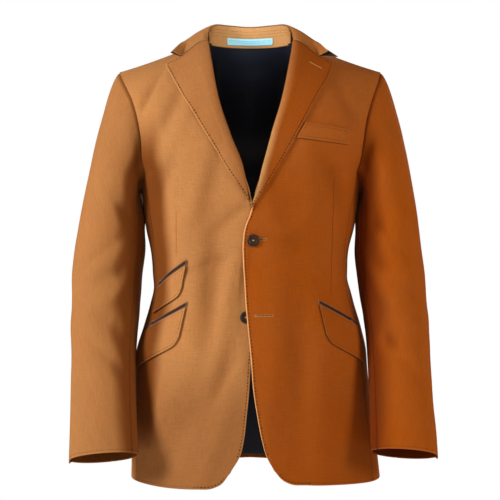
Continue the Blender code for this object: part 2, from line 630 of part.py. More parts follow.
def sleeve(side, ring_shares, cap_rows, tube_rows):
    """A sleeve's points: rows from armhole to cuff, columns round it by the given shares."""
    table = SLEEVE_LEFT if side > 0 else SLEEVE_RIGHT
    folds = FOLDS_LEFT if side > 0 else FOLDS_RIGHT
    share = np.asarray(ring_shares, float)
    pulls = np.array([CAP_TOP, CAP_FRONT, CAP_UNDER, CAP_BACK, CAP_TOP]) * (side, 1, 1)
    quarters = [0.0, 0.25, 0.5, 0.75, 1.0]
    leave = through(quarters, pulls)(share % 1.0)
    stand = through(quarters, CAP_STAND)(share % 1.0)[:, None]
    hole = armhole_ring(side)(share % 1.0)
    hole = hole + stand * leave / np.linalg.norm(leave, axis=-1)[:, None]
    values = {
        name: column(table, "height", name)
        for name in ("outer", "inner", "forward", "half_depth", "tilt", "roll")
    }

    def ring_at(height):
        row = Ring(height, *(float(values[name](height)) for name in Ring._fields[1:]))
        return sleeve_ring(side, row, share)

    first = ring_at(table[0].height)
    second = ring_at(table[0].height - 0.01)
    arrive = (second - first) / 0.01
    distance = np.linalg.norm(first - hole, axis=-1)[:, None]
    cap = pull(hole[None], leave[None], first[None], (arrive * distance * CAP_REACH)[None],
               shares(cap_rows, -0.2)[:, None])
    heights = np.linspace(table[0].height, table[-1].height, tube_rows)
    tube = np.stack([ring_at(height) for height in heights[1:]])
    grid = np.concatenate([cap, tube])
    along = np.clip((SHOULDER_POINT[2] - grid[..., 2]) / SLEEVE_LENGTH, 0, 1)
    centre = grid.mean(axis=1, keepdims=True)
    outward = (grid - centre) * (1, 1, 0)
    outward = outward / np.linalg.norm(outward, axis=-1)[..., None]
    drop = sleeve_fold(folds, along, share[None]) * ease(along, *HEAD_FADE) * (1 - ease(along, *CUFF_FADE))
    return grid - outward * drop[..., None]


# ================================================================ meshes
def inset(points, gap):
    """Draws the edges of an open grid in by half a seam's gap: bottom and top rows, first and last columns."""
    points = points.copy()
    bottom, top, first, last = np.broadcast_to(gap, 4)
    for edge, inner, room in ((0, 1, bottom), (-1, -2, top)):
        step = points[inner] - points[edge]
        points[edge] += step / np.linalg.norm(step, axis=-1)[:, None] * room / 2
    for edge, inner, room in ((0, 1, first), (-1, -2, last)):
        step = points[:, inner] - points[:, edge]
        points[:, edge] += step / np.linalg.norm(step, axis=-1)[:, None] * room / 2
    return points


def grid_faces(rows, columns):
    """Quads of an open grid."""
    return [
        (r * columns + c, r * columns + c + 1, (r + 1) * columns + c + 1, (r + 1) * columns + c)
        for r in range(rows - 1)
        for c in range(columns - 1)
    ]


def add(name, mesh, material):
    """Puts a mesh in the jacket's collection under a name, with its material."""
    piece = bpy.data.objects.new(name, mesh)
    piece.data.materials.append(material)
    JACKET.objects.link(piece)
    piece.data.shade_smooth()
    return piece


def cloth(name, points, wall, material, seam=SEAM):
    """A wall of cloth with its middle on a grid of points. The seam's gap is widened where walls meet bent."""
    points = inset(points, seam)
    rows, columns = points.shape[:2]
    mesh = bpy.data.meshes.new(name)
    mesh.from_pydata(points.reshape(-1, 3).tolist(), [], grid_faces(rows, columns))
    piece = add(name, mesh, material)
    solid = piece.modifiers.new("wall", "SOLIDIFY")
    solid.thickness = wall
    solid.offset = 0.0
    solid.use_even_offset = True
    solid.use_quality_normals = True
    return piece


def normals(points):
    """Directions straight out of a grid of points."""
    across = np.gradient(points, axis=1)
    up = np.gradient(points, axis=0)
    out = np.cross(across, up)
    return out / np.linalg.norm(out, axis=-1)[..., None]


def tree_of(points):
    """A search tree over a grid of points, for laying pieces on it."""
    rows, columns = points.shape[:2]
    vertices = [Vector(point) for point in points.reshape(-1, 3)]
    return BVHTree.FromPolygons(vertices, grid_faces(rows, columns))


def lay(tree, across, height, lift):
    """The point of a panel seen from the front at a place, moved out by lift."""
    across, height, lift = np.broadcast_arrays(across, height, lift)
    out = np.empty(across.shape + (3,))
    for index in np.ndindex(across.shape):
        start = Vector((across[index], -1.0, height[index]))
        hit = None
        for step in range(EDGE_STEPS):
            beside = start + Vector((np.sign(across[index]) * step * 0.001, 0, 0))
            hit, normal, _, _ = tree.ray_cast(beside, Vector((0, 1, 0)))
            if hit is not None:
                hit.x = start.x
                break
        if hit is None:
            hit, normal, _, _ = tree.find_nearest(Vector((across[index], NECK_SIDE_DEPTH, height[index])))
        if normal.y > 0:
            normal = -normal
        out[index] = hit + normal * float(lift[index])
    return out


def clear_of(tree, points, least, slip=NEAR):
    """Moves points near a panel out of it until they stand off it, save those past its edge by over slip."""
    out = points.copy()
    flat = out.reshape(-1, 3)
    for i, point in enumerate(flat):
        hit, normal, _, _ = tree.find_nearest(Vector(point))
        if (hit - Vector(point)).length > NEAR:
            continue
        if normal.dot(hit - BODY_MIDDLE) < 0:
            normal = -normal
        away = Vector(point) - hit
        off = away.dot(normal)
        past_edge = (away - off * normal).length > slip
        if off < least and not past_edge:
            flat[i] = Vector(point) + normal * (least - off)
    return out


def on_body(around, height, lift):
    """A point of the body moved out by lift."""
    step = 0.5
    here = body(around, height)
    sideways = body(around + step, height) - body(around - step, height)
    upwards = body(around, height + 0.002) - body(around, height - 0.002)
    normal = np.cross(sideways, upwards)
    return here + normal / np.linalg.norm(normal, axis=-1)[..., None] * np.asarray(lift)[..., None]


def material(name, colour, roughness):
    """A plain finish."""
    made = bpy.data.materials.new(name)
    made.use_nodes = True
    shader = made.node_tree.nodes["Principled BSDF"]
    shader.inputs["Base Color"].default_value = (*colour, 1.0)
    shader.inputs["Roughness"].default_value = roughness
    made.diffuse_color = (*colour, 1.0)
    return made


# ================================================================ lapels, collar and trim
def lapel(side, tree, rows, columns):
    """A lapel: rows from the break to the gorge, columns from the roll line to the outer edge."""
    table = LAPEL_LEFT if side > 0 else LAPEL_RIGHT
    share = shares(rows)
    across = shares(columns, 0.35)
    value = {name: column(table, "share", name)(share)[:, None] for name in LapelRow._fields[1:]}
    x = mix(value["roll_x"], value["edge_x"], across[None])
    z = mix(value["roll_z"], value["edge_z"], across[None])
    last = table[-1]
    bent_x = np.interp(across, [0, GORGE_SHARE, 1], [last.roll_x, side * NOTCH[0], last.edge_x])
    bent_z = np.interp(across, [0, GORGE_SHARE, 1], [last.roll_z, NOTCH[1], last.edge_z])
    top = ease(share, 0.80, 1.0)[:, None]
    x = x + top * (bent_x - x[-1])[None]
    z = z + top * (bent_z - z[-1])[None]
    narrow = np.clip(np.abs(value["edge_x"] - value["roll_x"]) / 0.020, 0.25, 1.0)
    shift = column(LAPEL_ROLL, "share", "shift")(across)[None]
    lift = column(LAPEL_ROLL, "share", "lift")(across)[None]
    flat = LAPEL_ROLL[-1].lift
    lift = flat + (lift - flat) * narrow + GORGE_LIFT * ease(share, 0.75, 1.0)[:, None]
    return lay(tree, x + side * shift * narrow, z, lift)


def collar_line(name, share):
    """One edge of the collar, from the left gorge (share 0) round the neck to the right gorge (share 1)."""
    half = [getattr(row, name) for row in COLLAR]
    keys = [row.share for row in COLLAR]
    whole = np.concatenate([half, np.array(half[-2::-1]) * (-1, 1, 1)])
    places = keys + [2 - key for key in keys[-2::-1]]
    return through(places, whole)(2 * np.asarray(share))


def collar_fall(across, down, gorge_left, gorge_right):
    """The fall: rows from roll to outer edge, columns round the neck. Its ends follow the two gorges."""
    roll = collar_line("roll", across)[None]
    edge = collar_line("edge", across)[None]
    t = np.asarray(down)[:, None, None]
    points = mix(roll, edge, t)
    outward = roll - np.array(COLLAR_MIDDLE)
    outward = outward / np.linalg.norm(outward, axis=-1)[..., None]
    points = points + outward * COLLAR_CREST * CREST_SHAPE * np.sqrt(t) * (1 - t)
    share = np.asarray(across)
    for end, line in ((0, gorge_left), (-1, gorge_right)):
        reach_in = 1 - ease(np.abs(share - share[end]), 0.0, GORGE_REACH)
        points = points + reach_in[None, :, None] * (line - points[:, end])[:, None]
    return points


def gorge_line(lapel_grid, side, down):
    """The collar's end: along the lapel's top to the notch, then out to the collar's tip."""
    top = lapel_grid[-1]
    along = np.linalg.norm(np.diff(top, axis=0), axis=1)
    keys = np.concatenate(([0.0], np.cumsum(along)))
    across = shares(len(top), 0.35)
    notch_key = np.interp(GORGE_SHARE, across, keys)
    curve = through(keys, top)
    up = np.array(GORGE_AWAY) * (side, 1, 1) * GORGE_GAP
    tip = np.array(COLLAR[0].edge) * (side, 1, 1)
    notch = curve(notch_key) + up
    down = np.asarray(down)
    inner = curve(np.minimum(down / GORGE_SHARE, 1.0) * notch_key) + up
    outer = mix(notch, tip, np.clip((down - GORGE_SHARE) / (1 - GORGE_SHARE), 0, 1)[:, None])
    return np.where((down < GORGE_SHARE)[:, None], inner, outer)


def flap_grid(flap, across, down, lift):
    """A flap: rows from its top edge down, columns from inner to outer end."""
    u = np.asarray(across)[None]
    t = np.asarray(down)[:, None]
    fall = mix(flap.fall_in, flap.fall_out, u)
    wide = math.radians(flap.outer_around - flap.inner_around) * HIP_RADIUS
    from_end = np.clip(1 - u * wide / FLAP_CORNER, 0, 1)
    fall = fall - FLAP_CORNER * (1 - np.sqrt(1 - from_end ** 2))
    around = mix(flap.inner_around, flap.outer_around, u) + np.degrees(FLAP_LEAN / HIP_RADIUS) * t * (1 - u)
    height = mix(flap.inner_height, flap.outer_height, u) - fall * t
    return on_body(flap.side * around, height, np.full(height.shape, lift))


# ================================================================ pieces
def make_body():
    """Fronts and side panels. Returns a search tree of each front."""
    fronts = {}
    for side, word in ((1, "left"), (-1, "right")):
        points = front(side, *FRONT_GRID)
        fronts[side] = tree_of(points)
        cloth(f"front_{word}", points, CLOTH, TAN, (SEAM, SHOULDER_GAP, SEAM, SIDE_GAP))
        cloth(f"side_{word}", side_panel(side, *SIDE_GRID), CLOTH, TAN, (SEAM, SEAM, SIDE_GAP, SIDE_GAP))
    return fronts


def make_back():
    """The back, and its lining inside it."""
    panel = back_panel(*BACK_GRID)
    cloth("back", panel, CLOTH, TAN, (SEAM, SHOULDER_GAP, SIDE_GAP, SIDE_GAP))
    inside = panel - normals(panel) * (CLOTH / 2 + LIE * 2 + LINING / 2)
    inside[0] = mix(inside[0], inside[1], LINING_UP)
    inside[-1] = mix(inside[-1], inside[-2], LINING_DOWN)
    cloth("lining_back", inside, LINING, BLACK, (SEAM, SEAM, LINING_IN, LINING_IN))


def make_sleeves():
    """Top and under sleeves."""
    start, end = UNDER_SLEEVE
    for side, word in ((1, "left"), (-1, "right")):
        top = np.linspace(end - 1.0, start, TOP_SLEEVE_COLUMNS)
        under = np.linspace(start, end, UNDER_SLEEVE_COLUMNS)
        cloth(f"sleeve_top_{word}", sleeve(side, top, *SLEEVE_ROWS), CLOTH, TAN, SLEEVE_GAP)
        cloth(f"sleeve_under_{word}", sleeve(side, under, *SLEEVE_ROWS), CLOTH, TAN, SLEEVE_GAP)


def make_lapels_and_collar(fronts):
    """Lapels, the collar's fall, stand and under collar, and the bare neck label."""
    back = tree_of(back_panel(*BACK_GRID))
    lapels = {}
    for side, word in ((1, "left"), (-1, "right")):
        smooth = tree_of(front(side, *FINE_FRONT))
        flat = lapel(side, smooth, *LAPEL_GRID)
        lapels[side] = clear_of(fronts[side], flat, CLOTH / 2 + LIE * 2 + FACED / 2)
        cloth(f"lapel_{word}", lapels[side], FACED, TAN)
    across = shares(COLLAR_COLUMNS)
    down = np.array(FALL_ROWS)
    ends = [gorge_line(lapels[side], side, down) for side in (1, -1)]
    fall = collar_fall(across, down, *ends)
    panels = (fronts[1], fronts[-1], back)
    for tree in panels:
        fall = clear_of(tree, fall, FALL_LIFT, EDGE_SLIP)
    cloth("collar_fall", fall, FACED, TAN)
    outward = normals(fall)
    outward = outward * np.sign((outward * (fall - np.array(BODY_MIDDLE))).sum(axis=-1, keepdims=True))
    under = (fall - outward * (FALL_LIFT - UNDER_LIFT))[UNDER_ROWS:]
    for end, inner, peep in ((0, 1, UNDER_PEEP_LEFT), (-1, -2, UNDER_PEEP_RIGHT)):
        shown = ease(down[UNDER_ROWS:], GORGE_SHARE - 0.05, 1.0)[:, None]
        hidden = (1 - ease(down[UNDER_ROWS:], GORGE_SHARE - 0.15, GORGE_SHARE + 0.15))[:, None]
        under[:, end] = mix(under[:, end], under[:, inner], hidden * UNDER_TUCK)
        under[:, end] += np.array(PEEP_AWAY) * shown * peep
    for tree in panels:
        under = clear_of(tree, under, UNDER_LIFT, EDGE_SLIP)
    cloth("under_collar", under, LINING, BROWN)
    stand_across = shares(COLLAR_COLUMNS)[STAND_STOP:-STAND_STOP]
    seam = collar_line("seam", stand_across)
    roll = collar_line("roll", stand_across) - (0, 0, FACED / 2 + SEAM * 3)
    stand = np.stack([mix(seam, roll, t) for t in STAND_ROWS])
    stand[..., 0] -= np.sign(stand[..., 0]) * STAND_IN * (1 - ease(stand[..., 1], *STAND_FADE))
    cloth("collar_stand", stand, CLOTH, TAN)

    label_across = 0.5 + np.linspace(-0.5, 0.5, LABEL_COLUMNS) * LABEL_SHARE
    seam = collar_line("seam", label_across)
    roll = collar_line("roll", label_across)
    low, high = LABEL_RISE
    label = np.stack([mix(seam, roll, t) for t in (low, (low + high) / 2, high)])
    label[..., 1] -= CLOTH / 2 + LIE * 2 + LINING / 2
    cloth("neck_label", label, LINING, BLUE)


def make_pockets(fronts):
    """Three flaps, the dark piping above each, and the chest welt."""
    lift = CLOTH / 2 + LIE * 2 + FACED / 2
    low_lift = CLOTH / 2 + LIE + LINING / 2
    for flap in FLAPS:
        panels = (fronts[flap.side], tree_of(side_panel(flap.side, *SIDE_GRID)))
        points = flap_grid(flap, FLAP_COLUMNS, shares(FLAP_ROWS), lift)
        u = np.linspace(-0.01, 1.0, 8)[None]
        rise = np.array([PIPING_WIDTH + LIE, PIPING_WIDTH / 2, LIE])[:, None]
        around = mix(flap.inner_around, flap.outer_around, u) + 0 * rise
        height = mix(flap.inner_height, flap.outer_height, u) + rise
        strip = on_body(flap.side * around, height, np.full(height.shape, low_lift))
        for panel in panels:
            points = clear_of(panel, points, lift)
            strip = clear_of(panel, strip, low_lift)
        cloth(f"flap_{flap.word}", points, FACED, TAN)
        cloth(f"piping_{flap.word}", strip, LINING, BROWN)
    tree = tree_of(front(1, *FINE_FRONT))
    u = np.linspace(0, 1, 8)[None]
    t = np.linspace(0, 1, 4)[:, None]
    x = mix(WELT_INNER[0] + WELT_LEAN * t, WELT_OUTER[0], u)
    z = mix(WELT_INNER[1], WELT_OUTER[1], u) + mix(*WELT_TALL, u) * t
    points = clear_of(fronts[1], lay(tree, x, z, np.full(x.shape, lift)), lift)
    cloth("welt_chest", points, FACED, TAN)


def make_button(name, tree, place):
    """A turned button with a raised rim, lying on a front."""
    mesh = bpy.data.meshes.new(name)
    points = [(row.radius * BUTTON_RADIUS, 0.0, row.rise * BUTTON_THICK) for row in BUTTON]
    mesh.from_pydata(points, [(i, i + 1) for i in range(len(points) - 1)], [])
    button = add(name, mesh, BROWN)
    turn = button.modifiers.new("turn", "SCREW")
    turn.steps = BUTTON_TURNS
    turn.render_steps = BUTTON_TURNS
    turn.use_merge_vertices = True
    turn.merge_threshold = BUTTON_RADIUS / 200
    lift = np.array(CLOTH / 2 + LIE)
    spot = lay(tree, np.array(place[0]), np.array(place[1]), lift)
    beyond = lay(tree, np.array(place[0]), np.array(place[1]), lift + 0.01)
    button.location = spot
    button.rotation_euler = Vector(beyond - spot).to_track_quat("Z", "Y").to_euler()


for old in list(bpy.data.objects):
    bpy.data.objects.remove(old, do_unlink=True)
JACKET = bpy.data.collections.new("duck_canvas_jacket")
bpy.context.scene.collection.children.link(JACKET)
TAN = material("duck_canvas", CANVAS, 0.85)
BROWN = material("dark_trim", DARK, 0.7)
BLACK = material("lining", INK, 0.5)
BLUE = material("label", PALE_BLUE, 0.6)

FRONT_TREES = make_body()
make_back()
make_sleeves()
make_lapels_and_collar(FRONT_TREES)
make_pockets(FRONT_TREES)
make_button("button_upper", FRONT_TREES[1], BUTTON_UPPER)
make_button("button_lower", FRONT_TREES[-1], BUTTON_LOWER)
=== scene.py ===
# %% [markdown]
# # A duck canvas jacket, filled out as if worn
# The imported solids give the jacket's form in metres: +X is the wearer's left, -Y the front, +Z up.
# Each panel that a maker would cut is made again here, finer, over its own solid. It has a thin rounded
# wall, creases, weave and stitching. Loading the solids first keeps every piece in the same place.

# %% The frame
import math
from collections import namedtuple

import bpy
import numpy as np
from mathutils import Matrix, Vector
from mathutils.bvhtree import BVHTree


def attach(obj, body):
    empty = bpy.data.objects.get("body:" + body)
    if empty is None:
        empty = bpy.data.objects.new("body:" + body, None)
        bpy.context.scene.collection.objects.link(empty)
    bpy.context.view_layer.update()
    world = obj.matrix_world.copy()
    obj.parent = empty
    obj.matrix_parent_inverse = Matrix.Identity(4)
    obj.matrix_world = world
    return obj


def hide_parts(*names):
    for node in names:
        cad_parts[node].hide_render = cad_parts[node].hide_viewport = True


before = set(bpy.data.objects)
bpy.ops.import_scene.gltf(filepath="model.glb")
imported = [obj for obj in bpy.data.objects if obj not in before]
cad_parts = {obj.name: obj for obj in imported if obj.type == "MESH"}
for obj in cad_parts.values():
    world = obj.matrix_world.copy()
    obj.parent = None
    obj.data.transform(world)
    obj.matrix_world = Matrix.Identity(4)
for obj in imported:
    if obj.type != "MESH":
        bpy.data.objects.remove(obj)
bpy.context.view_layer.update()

# %% [markdown]
# ## Cloth sizes
# Duck is a heavy plain-woven cotton. One layer with its interlining is about 2 mm thick, and lapels,
# collar and flaps are two layers. The solids stand a little apart at their seams. Here sewn edges press
# into each other instead, as thread draws them together.

# %% Walls and seams
CLOTH = 0.0018            # wall of the canvas, with its canvas interlining
FACED = 0.0022            # wall of lapel, collar and flap, which are two layers of cloth
LINING = 0.0012           # wall of the dark lining
SEAM = 0.0003             # clear gap between two pieces whose edges only meet
NEAT = -0.0004            # sewn edges press into each other by this
LIE = 0.0004              # clear gap under a piping or button; other pieces lie twice as far off
LINING_IN = 0.006         # twice how far the lining stops short of the back's side seams
GORGE_GAP = 0.0018        # mid-wall gap of the seam between lapel and collar, which meet at an angle
FACING = 0.045            # how far the outer cloth turns inside at a finished edge
# From the middle of a panel's wall to the middle of a faced piece, and of a lining, that lies on it.
ON_FACED = CLOTH / 2 + LIE * 2 + FACED / 2
ON_LINING = CLOTH / 2 + LIE * 2 + LINING / 2
print("wall:", CLOTH, "faced wall:", FACED)

# %% [markdown]
# ## The body's sections
# A fitted body is widest at chest and hem and narrowest at the waist. A short table of half widths and
# depths at a few heights says that, and a superellipse joins them: rounder than a box, fuller than an
# ellipse, as a canvas jacket stands.

# %% Body tables
SQUARENESS = 2.3          # exponent of the body's superellipse sections
HIP_RADIUS = 0.140        # distance from the body's axis that turns degrees round it into lengths
RISE_PULL = 1.05          # how far cloth rising from the armpit's height keeps its direction
ARMPIT = -0.225           # height where the side seams meet the armhole
ARMHOLE_DIP = 0.030       # how far the armhole falls below the side seams, under the arm
FRONT_SEAM = 74.0         # degrees round from centre front to the seam of front and side panel
BACK_SEAM = 112.0         # degrees round from centre front to the seam of side panel and back

def table_of(kind, *rows):
    """A table whose rows have named columns."""
    return tuple(kind(*row) for row in rows)

Section = namedtuple("Section", "height right left front back")
BODY = table_of(
    Section,
    (-0.745, 0.2005, 0.2200, 0.1310, 0.1290), (-0.700, 0.1995, 0.2150, 0.1310, 0.1290),
    (-0.620, 0.1970, 0.2045, 0.1300, 0.1290), (-0.550, 0.1940, 0.1975, 0.1280, 0.1270),
    (-0.5225, 0.1910, 0.1955, 0.1270, 0.1240), (-0.485, 0.1795, 0.1870, 0.1245, 0.1170),
    (-0.440, 0.1670, 0.1740, 0.1210, 0.1050), (-0.395, 0.1640, 0.1650, 0.1190, 0.0970),
    (-0.355, 0.1655, 0.1645, 0.1185, 0.0945), (-0.320, 0.1705, 0.1705, 0.1195, 0.0970),
    (-0.280, 0.1770, 0.1780, 0.1220, 0.1040), (-0.225, 0.1860, 0.1880, 0.1240, 0.1150),
    (-0.180, 0.1890, 0.1910, 0.1230, 0.1210),
)

# The hem's height by degrees round from centre front.
HemPoint = namedtuple("HemPoint", "around height")
HEM_BACK = table_of(
    HemPoint,
    (60, -0.7400), (74, -0.7385), (112, -0.7350), (150, -0.7290), (180, -0.7260),
)

# The front edge, from the middle of its round lower corner up to the armpit's height.
EdgePoint = namedtuple("EdgePoint", "height across")
EDGE_RIGHT = table_of(
    EdgePoint,
    (-0.7140, -0.0325), (-0.6890, -0.0170), (-0.6580, -0.0094), (-0.6250, -0.0056), (-0.5860, -0.0017),
    (-0.5350, 0.0020), (-0.4630, 0.0115), (-0.3390, 0.0214), (-0.3100, 0.0160), (-0.2805, 0.0046),
    (-0.2580, -0.0010), (-0.2250, -0.0114),
)
EDGE_LEFT = table_of(
    EdgePoint,
    (-0.7096, 0.0391), (-0.6886, 0.0273), (-0.6630, 0.0197), (-0.6240, 0.0120), (-0.5760, 0.0048),
    (-0.5350, 0.0018), (-0.4775, -0.0038), (-0.4485, -0.0065), (-0.4040, -0.0093), (-0.3728, -0.0112),
    (-0.3437, -0.0115), (-0.3172, -0.0077), (-0.2963, 0.0004), (-0.2694, 0.0066), (-0.2250, 0.0195),
)
# The hem of each front, from its corner (share 0) to the side panel (share 1).
HemShare = namedtuple("HemShare", "share right left")
HEM_FRONT = table_of(
    HemShare,
    (0.00, -0.7140, -0.7096), (0.08, -0.7300, -0.7235), (0.18, -0.7385, -0.7320),
    (0.35, -0.7410, -0.7345), (0.70, -0.7415, -0.7370), (1.00, -0.7385, -0.7385),
)
# How far the left front stands off the right front where it laps over it.
LapPoint = namedtuple("LapPoint", "height lift")
LAP = table_of(
    LapPoint,
    (-0.745, 0.0024), (-0.600, 0.0040), (-0.500, 0.0078), (-0.463, 0.0082), (-0.420, 0.0060),
    (-0.340, 0.0026), (-0.280, 0.0026), (-0.225, 0.0012),
)
LAP_REACH = (0.030, 0.095)    # across from the centre, where the lap begins to fade and where it is gone
LAP_TOP = (ARMPIT - 0.02, ARMPIT + 0.06)    # heights over which it fades upwards

# Roll line above the armpit: where the lapel folds out of the front.
RollPoint = namedtuple("RollPoint", "height depth right left")
ROLL = table_of(
    RollPoint,
    (-0.2080, 0.1212, 0.0174, 0.0255), (-0.1650, 0.1150, 0.0345, 0.0368),
    (-0.1040, 0.0990, 0.0535, 0.0545), (-0.0560, 0.0770, 0.0622, 0.0650),
    (-0.0300, 0.0560, 0.0655, 0.0690), (-0.0120, 0.0360, 0.0690, 0.0715),
)
NECK_POINT = (0.0790, 0.0020, 0.0000)       # neck end of the left shoulder seam
SHOULDER_POINT = (0.2226, 0.0060, -0.0530)  # sleeve end of the left shoulder seam
SHOULDER_SAG = 0.0030                       # how far the seam dips between its ends
FRONT_LEAN_BACK = (0.95, 1.15)  # how a front leans back at the seam, at its neck and sleeve ends
FRONT_LEAN_UP = (0.35, 0.26)    # and how it rises
BACK_LEAN_FRONT = (1.10, 0.45)  # how the back leans forward at the seam, at its sleeve and neck ends
BACK_LEAN_UP = (0.26, 0.95)     # and how it rises
BACK_NECK = (0.0, 0.0600, -0.0030)          # the neck seam at centre back
BODY_MIDDLE = Vector((0.0, 0.0, -0.15))     # a point inside the chest

# Armhole seam, from the side seam up to the shoulder point.
ArmholePoint = namedtuple("ArmholePoint", "height depth right left")
ARMHOLE_FRONT = table_of(
    ArmholePoint,
    (-0.2040, 0.0570, 0.1790, 0.1830), (-0.1760, 0.0600, 0.1800, 0.1875),
    (-0.1400, 0.0565, 0.1858, 0.1930), (-0.1060, 0.0450, 0.1960, 0.2030),
    (-0.0760, 0.0250, 0.2110, 0.2145),
)
ARMHOLE_BACK = table_of(
    ArmholePoint,
    (-0.1950, 0.0750, 0.1700, 0.1720), (-0.1550, 0.0770, 0.1760, 0.1780),
    (-0.1150, 0.0660, 0.1900, 0.1920), (-0.0800, 0.0400, 0.2080, 0.2100),
)

# Soft folds of the body: a trough (depth above 0) or a ridge across the cloth.
Fold = namedtuple("Fold", "around height length width slope depth")
BODY_FOLDS = table_of(
    Fold,
    (30, -0.365, 0.110, 0.018, 0.30, 0.0022), (42, -0.300, 0.120, 0.020, 0.80, -0.0020),
    (60, -0.420, 0.080, 0.022, -0.30, 0.0030), (-34, -0.372, 0.110, 0.018, 0.25, 0.0022),
    (-46, -0.305, 0.120, 0.020, 0.70, -0.0022), (-62, -0.430, 0.080, 0.022, -0.35, 0.0030),
    (150, -0.380, 0.110, 0.020, 0.20, 0.0035), (-148, -0.400, 0.110, 0.022, 0.25, 0.0035),
)

print("body sections:", len(BODY), "folds:", len(BODY_FOLDS))

# %% [markdown]
# ## Curves through a table
# Every outline below is a smooth curve through a few named points, so a table stays short and can be
# read beside the photograph.

# %% Curves
def through(keys, values):
    """A smooth curve through the values at the keys."""
    keys = np.asarray(keys, float)
    values = np.asarray(values, float)
    order = np.argsort(keys)
    keys = keys[order]
    values = values[order]
    slopes = np.gradient(values, keys, axis=0)

    def at(key):
        key = np.clip(np.asarray(key, float), keys[0], keys[-1])
        i = np.clip(np.searchsorted(keys, key) - 1, 0, len(keys) - 2)
        step = keys[i + 1] - keys[i]
        t = (key - keys[i]) / step
        shape = t.shape + (1,) * (values.ndim - 1)
        t = t.reshape(shape)
        step = step.reshape(shape)
        start = values[i] * (1 + 2 * t) * (1 - t) ** 2 + slopes[i] * step * t * (1 - t) ** 2
        end = values[i + 1] * t * t * (3 - 2 * t) + slopes[i + 1] * step * t * t * (t - 1)
        return start + end

    return at

def column(table, key, value):
    """A table's column as a smooth curve over its key column."""
    return through([getattr(row, key) for row in table], [getattr(row, value) for row in table])

def by_length(points):
    """A smooth curve through points, with its parameter from 0 to 1 by distance."""
    points = np.asarray(points, float)
    steps = np.linalg.norm(np.diff(points, axis=0), axis=1)
    keys = np.concatenate(([0.0], np.cumsum(steps)))
    return through(keys / keys[-1], points)

def pull(start, start_pull, end, end_pull, t):
    """Points from start to end that leave and arrive along the two pulls."""
    t = np.asarray(t, float)[..., None]
    return (
        start * (1 + 2 * t) * (1 - t) ** 2
        + start_pull * t * (1 - t) ** 2
        + end * t * t * (3 - 2 * t)
        - end_pull * t * t * (1 - t)
    )

def mix(first, second, share):
    """A share of the way from first to second."""
    return first + (second - first) * share

def ease(value, low, high):
    """0 below low, 1 above high, smooth between."""
    t = np.clip((value - low) / (high - low), 0.0, 1.0)
    return t * t * (3 - 2 * t)

def unit(vectors):
    """Directions of length 1."""
    return vectors / np.linalg.norm(vectors, axis=-1)[..., None]

def normals(points):
    """Directions straight out of a grid of points."""
    return unit(np.cross(np.gradient(points, axis=1), np.gradient(points, axis=0)))

def outward(points, middle=BODY_MIDDLE):
    """Directions straight out of a grid, on the side that faces away from a point."""
    out = normals(points)
    return out * np.sign((out * (points - np.array(middle))).sum(axis=-1, keepdims=True))

print("half width at the waist:", round(float(column(BODY, "height", "left")(-0.36)), 4))

# %% Body surface
WIDTH_RIGHT = column(BODY, "height", "right")
WIDTH_LEFT = column(BODY, "height", "left")
DEPTH_FRONT = column(BODY, "height", "front")
DEPTH_BACK = column(BODY, "height", "back")
LAP_LIFT = column(LAP, "height", "lift")

def reach(around, height):
    """Distance of the body's section from its axis, at degrees round from centre front."""
    angle = np.radians(around)
    width = np.where(np.sin(angle) < 0, WIDTH_RIGHT(height), WIDTH_LEFT(height))
    depth = np.where(np.cos(angle) > 0, DEPTH_FRONT(height), DEPTH_BACK(height))
    sideways = (np.abs(np.sin(angle)) / width) ** SQUARENESS
    lengthways = (np.abs(np.cos(angle)) / depth) ** SQUARENESS
    return (sideways + lengthways) ** (-1.0 / SQUARENESS)

def body_fold(around, height):
    """How far the body's folds lower the cloth at a point."""
    total = 0.0
    for fold in BODY_FOLDS:
        along = np.radians(around - fold.around) * HIP_RADIUS
        across = height - fold.height - fold.slope * along
        total = total + fold.depth * np.exp(-((across / fold.width) ** 2) - (along / fold.length * 2) ** 2)
    return total

def body(around, height):
    """A point of the body's cloth, at degrees round from centre front towards the left."""
    around, height = np.broadcast_arrays(np.asarray(around, float), np.asarray(height, float))
    radius = reach(around, height) - body_fold(around, height)
    angle = np.radians(around)
    return np.stack([radius * np.sin(angle), -radius * np.cos(angle), height], axis=-1)

def around_at(across, height):
    """Degrees round from centre front of the point of the front that lies at a distance across."""
    angle = np.zeros(np.broadcast(across, height).shape)
    for _ in range(12):
        angle = np.degrees(np.arcsin(np.clip(across / reach(angle, height), -1, 1)))
    return angle

def patch(left, right, bottom, top, across, up):
    """A patch between four edges: left and right run up, bottom and top run across."""
    s = np.asarray(across)[None, :, None]
    t = np.asarray(up)[:, None, None]
    lower = bottom[None, :, :]
    upper = top[None, :, :]
    one = left[:, None, :]
    other = right[:, None, :]
    corners = (
        (1 - s) * (1 - t) * bottom[0] + s * (1 - t) * bottom[-1] + (1 - s) * t * top[0] + s * t * top[-1]
    )
    return (1 - t) * lower + t * upper + (1 - s) * one + s * other - corners

def shares(count, lean=0.0):
    """Even shares from 0 to 1, drawn towards 0 by lean."""
    t = np.linspace(0.0, 1.0, count)
    return (1 - lean) * t + lean * t * t

print("chest, centre front:", body(0, -0.2).round(4))

# %% [markdown]
# ## Fronts, side panels and back
# A front is a patch between its edge, hem, side seam and shoulder seam. Below the armpit it lies on the
# body's sections. Above, its columns rise in smooth curves to the shoulder seam, with the roll line on
# one side and the armhole on the other.

# %% Panels
def shoulder_seam(side, share):
    """The shoulder seam, from the neck point to the shoulder point."""
    neck = np.array(NECK_POINT) * (side, 1, 1)
    tip = np.array(SHOULDER_POINT) * (side, 1, 1)
    share = np.asarray(share)[..., None]
    return mix(neck, tip, share) - np.array([0, 0, SHOULDER_SAG]) * 4 * share * (1 - share)

def side_value(row, side):
    """The row's own value for a side."""
    return row.left if side > 0 else row.right

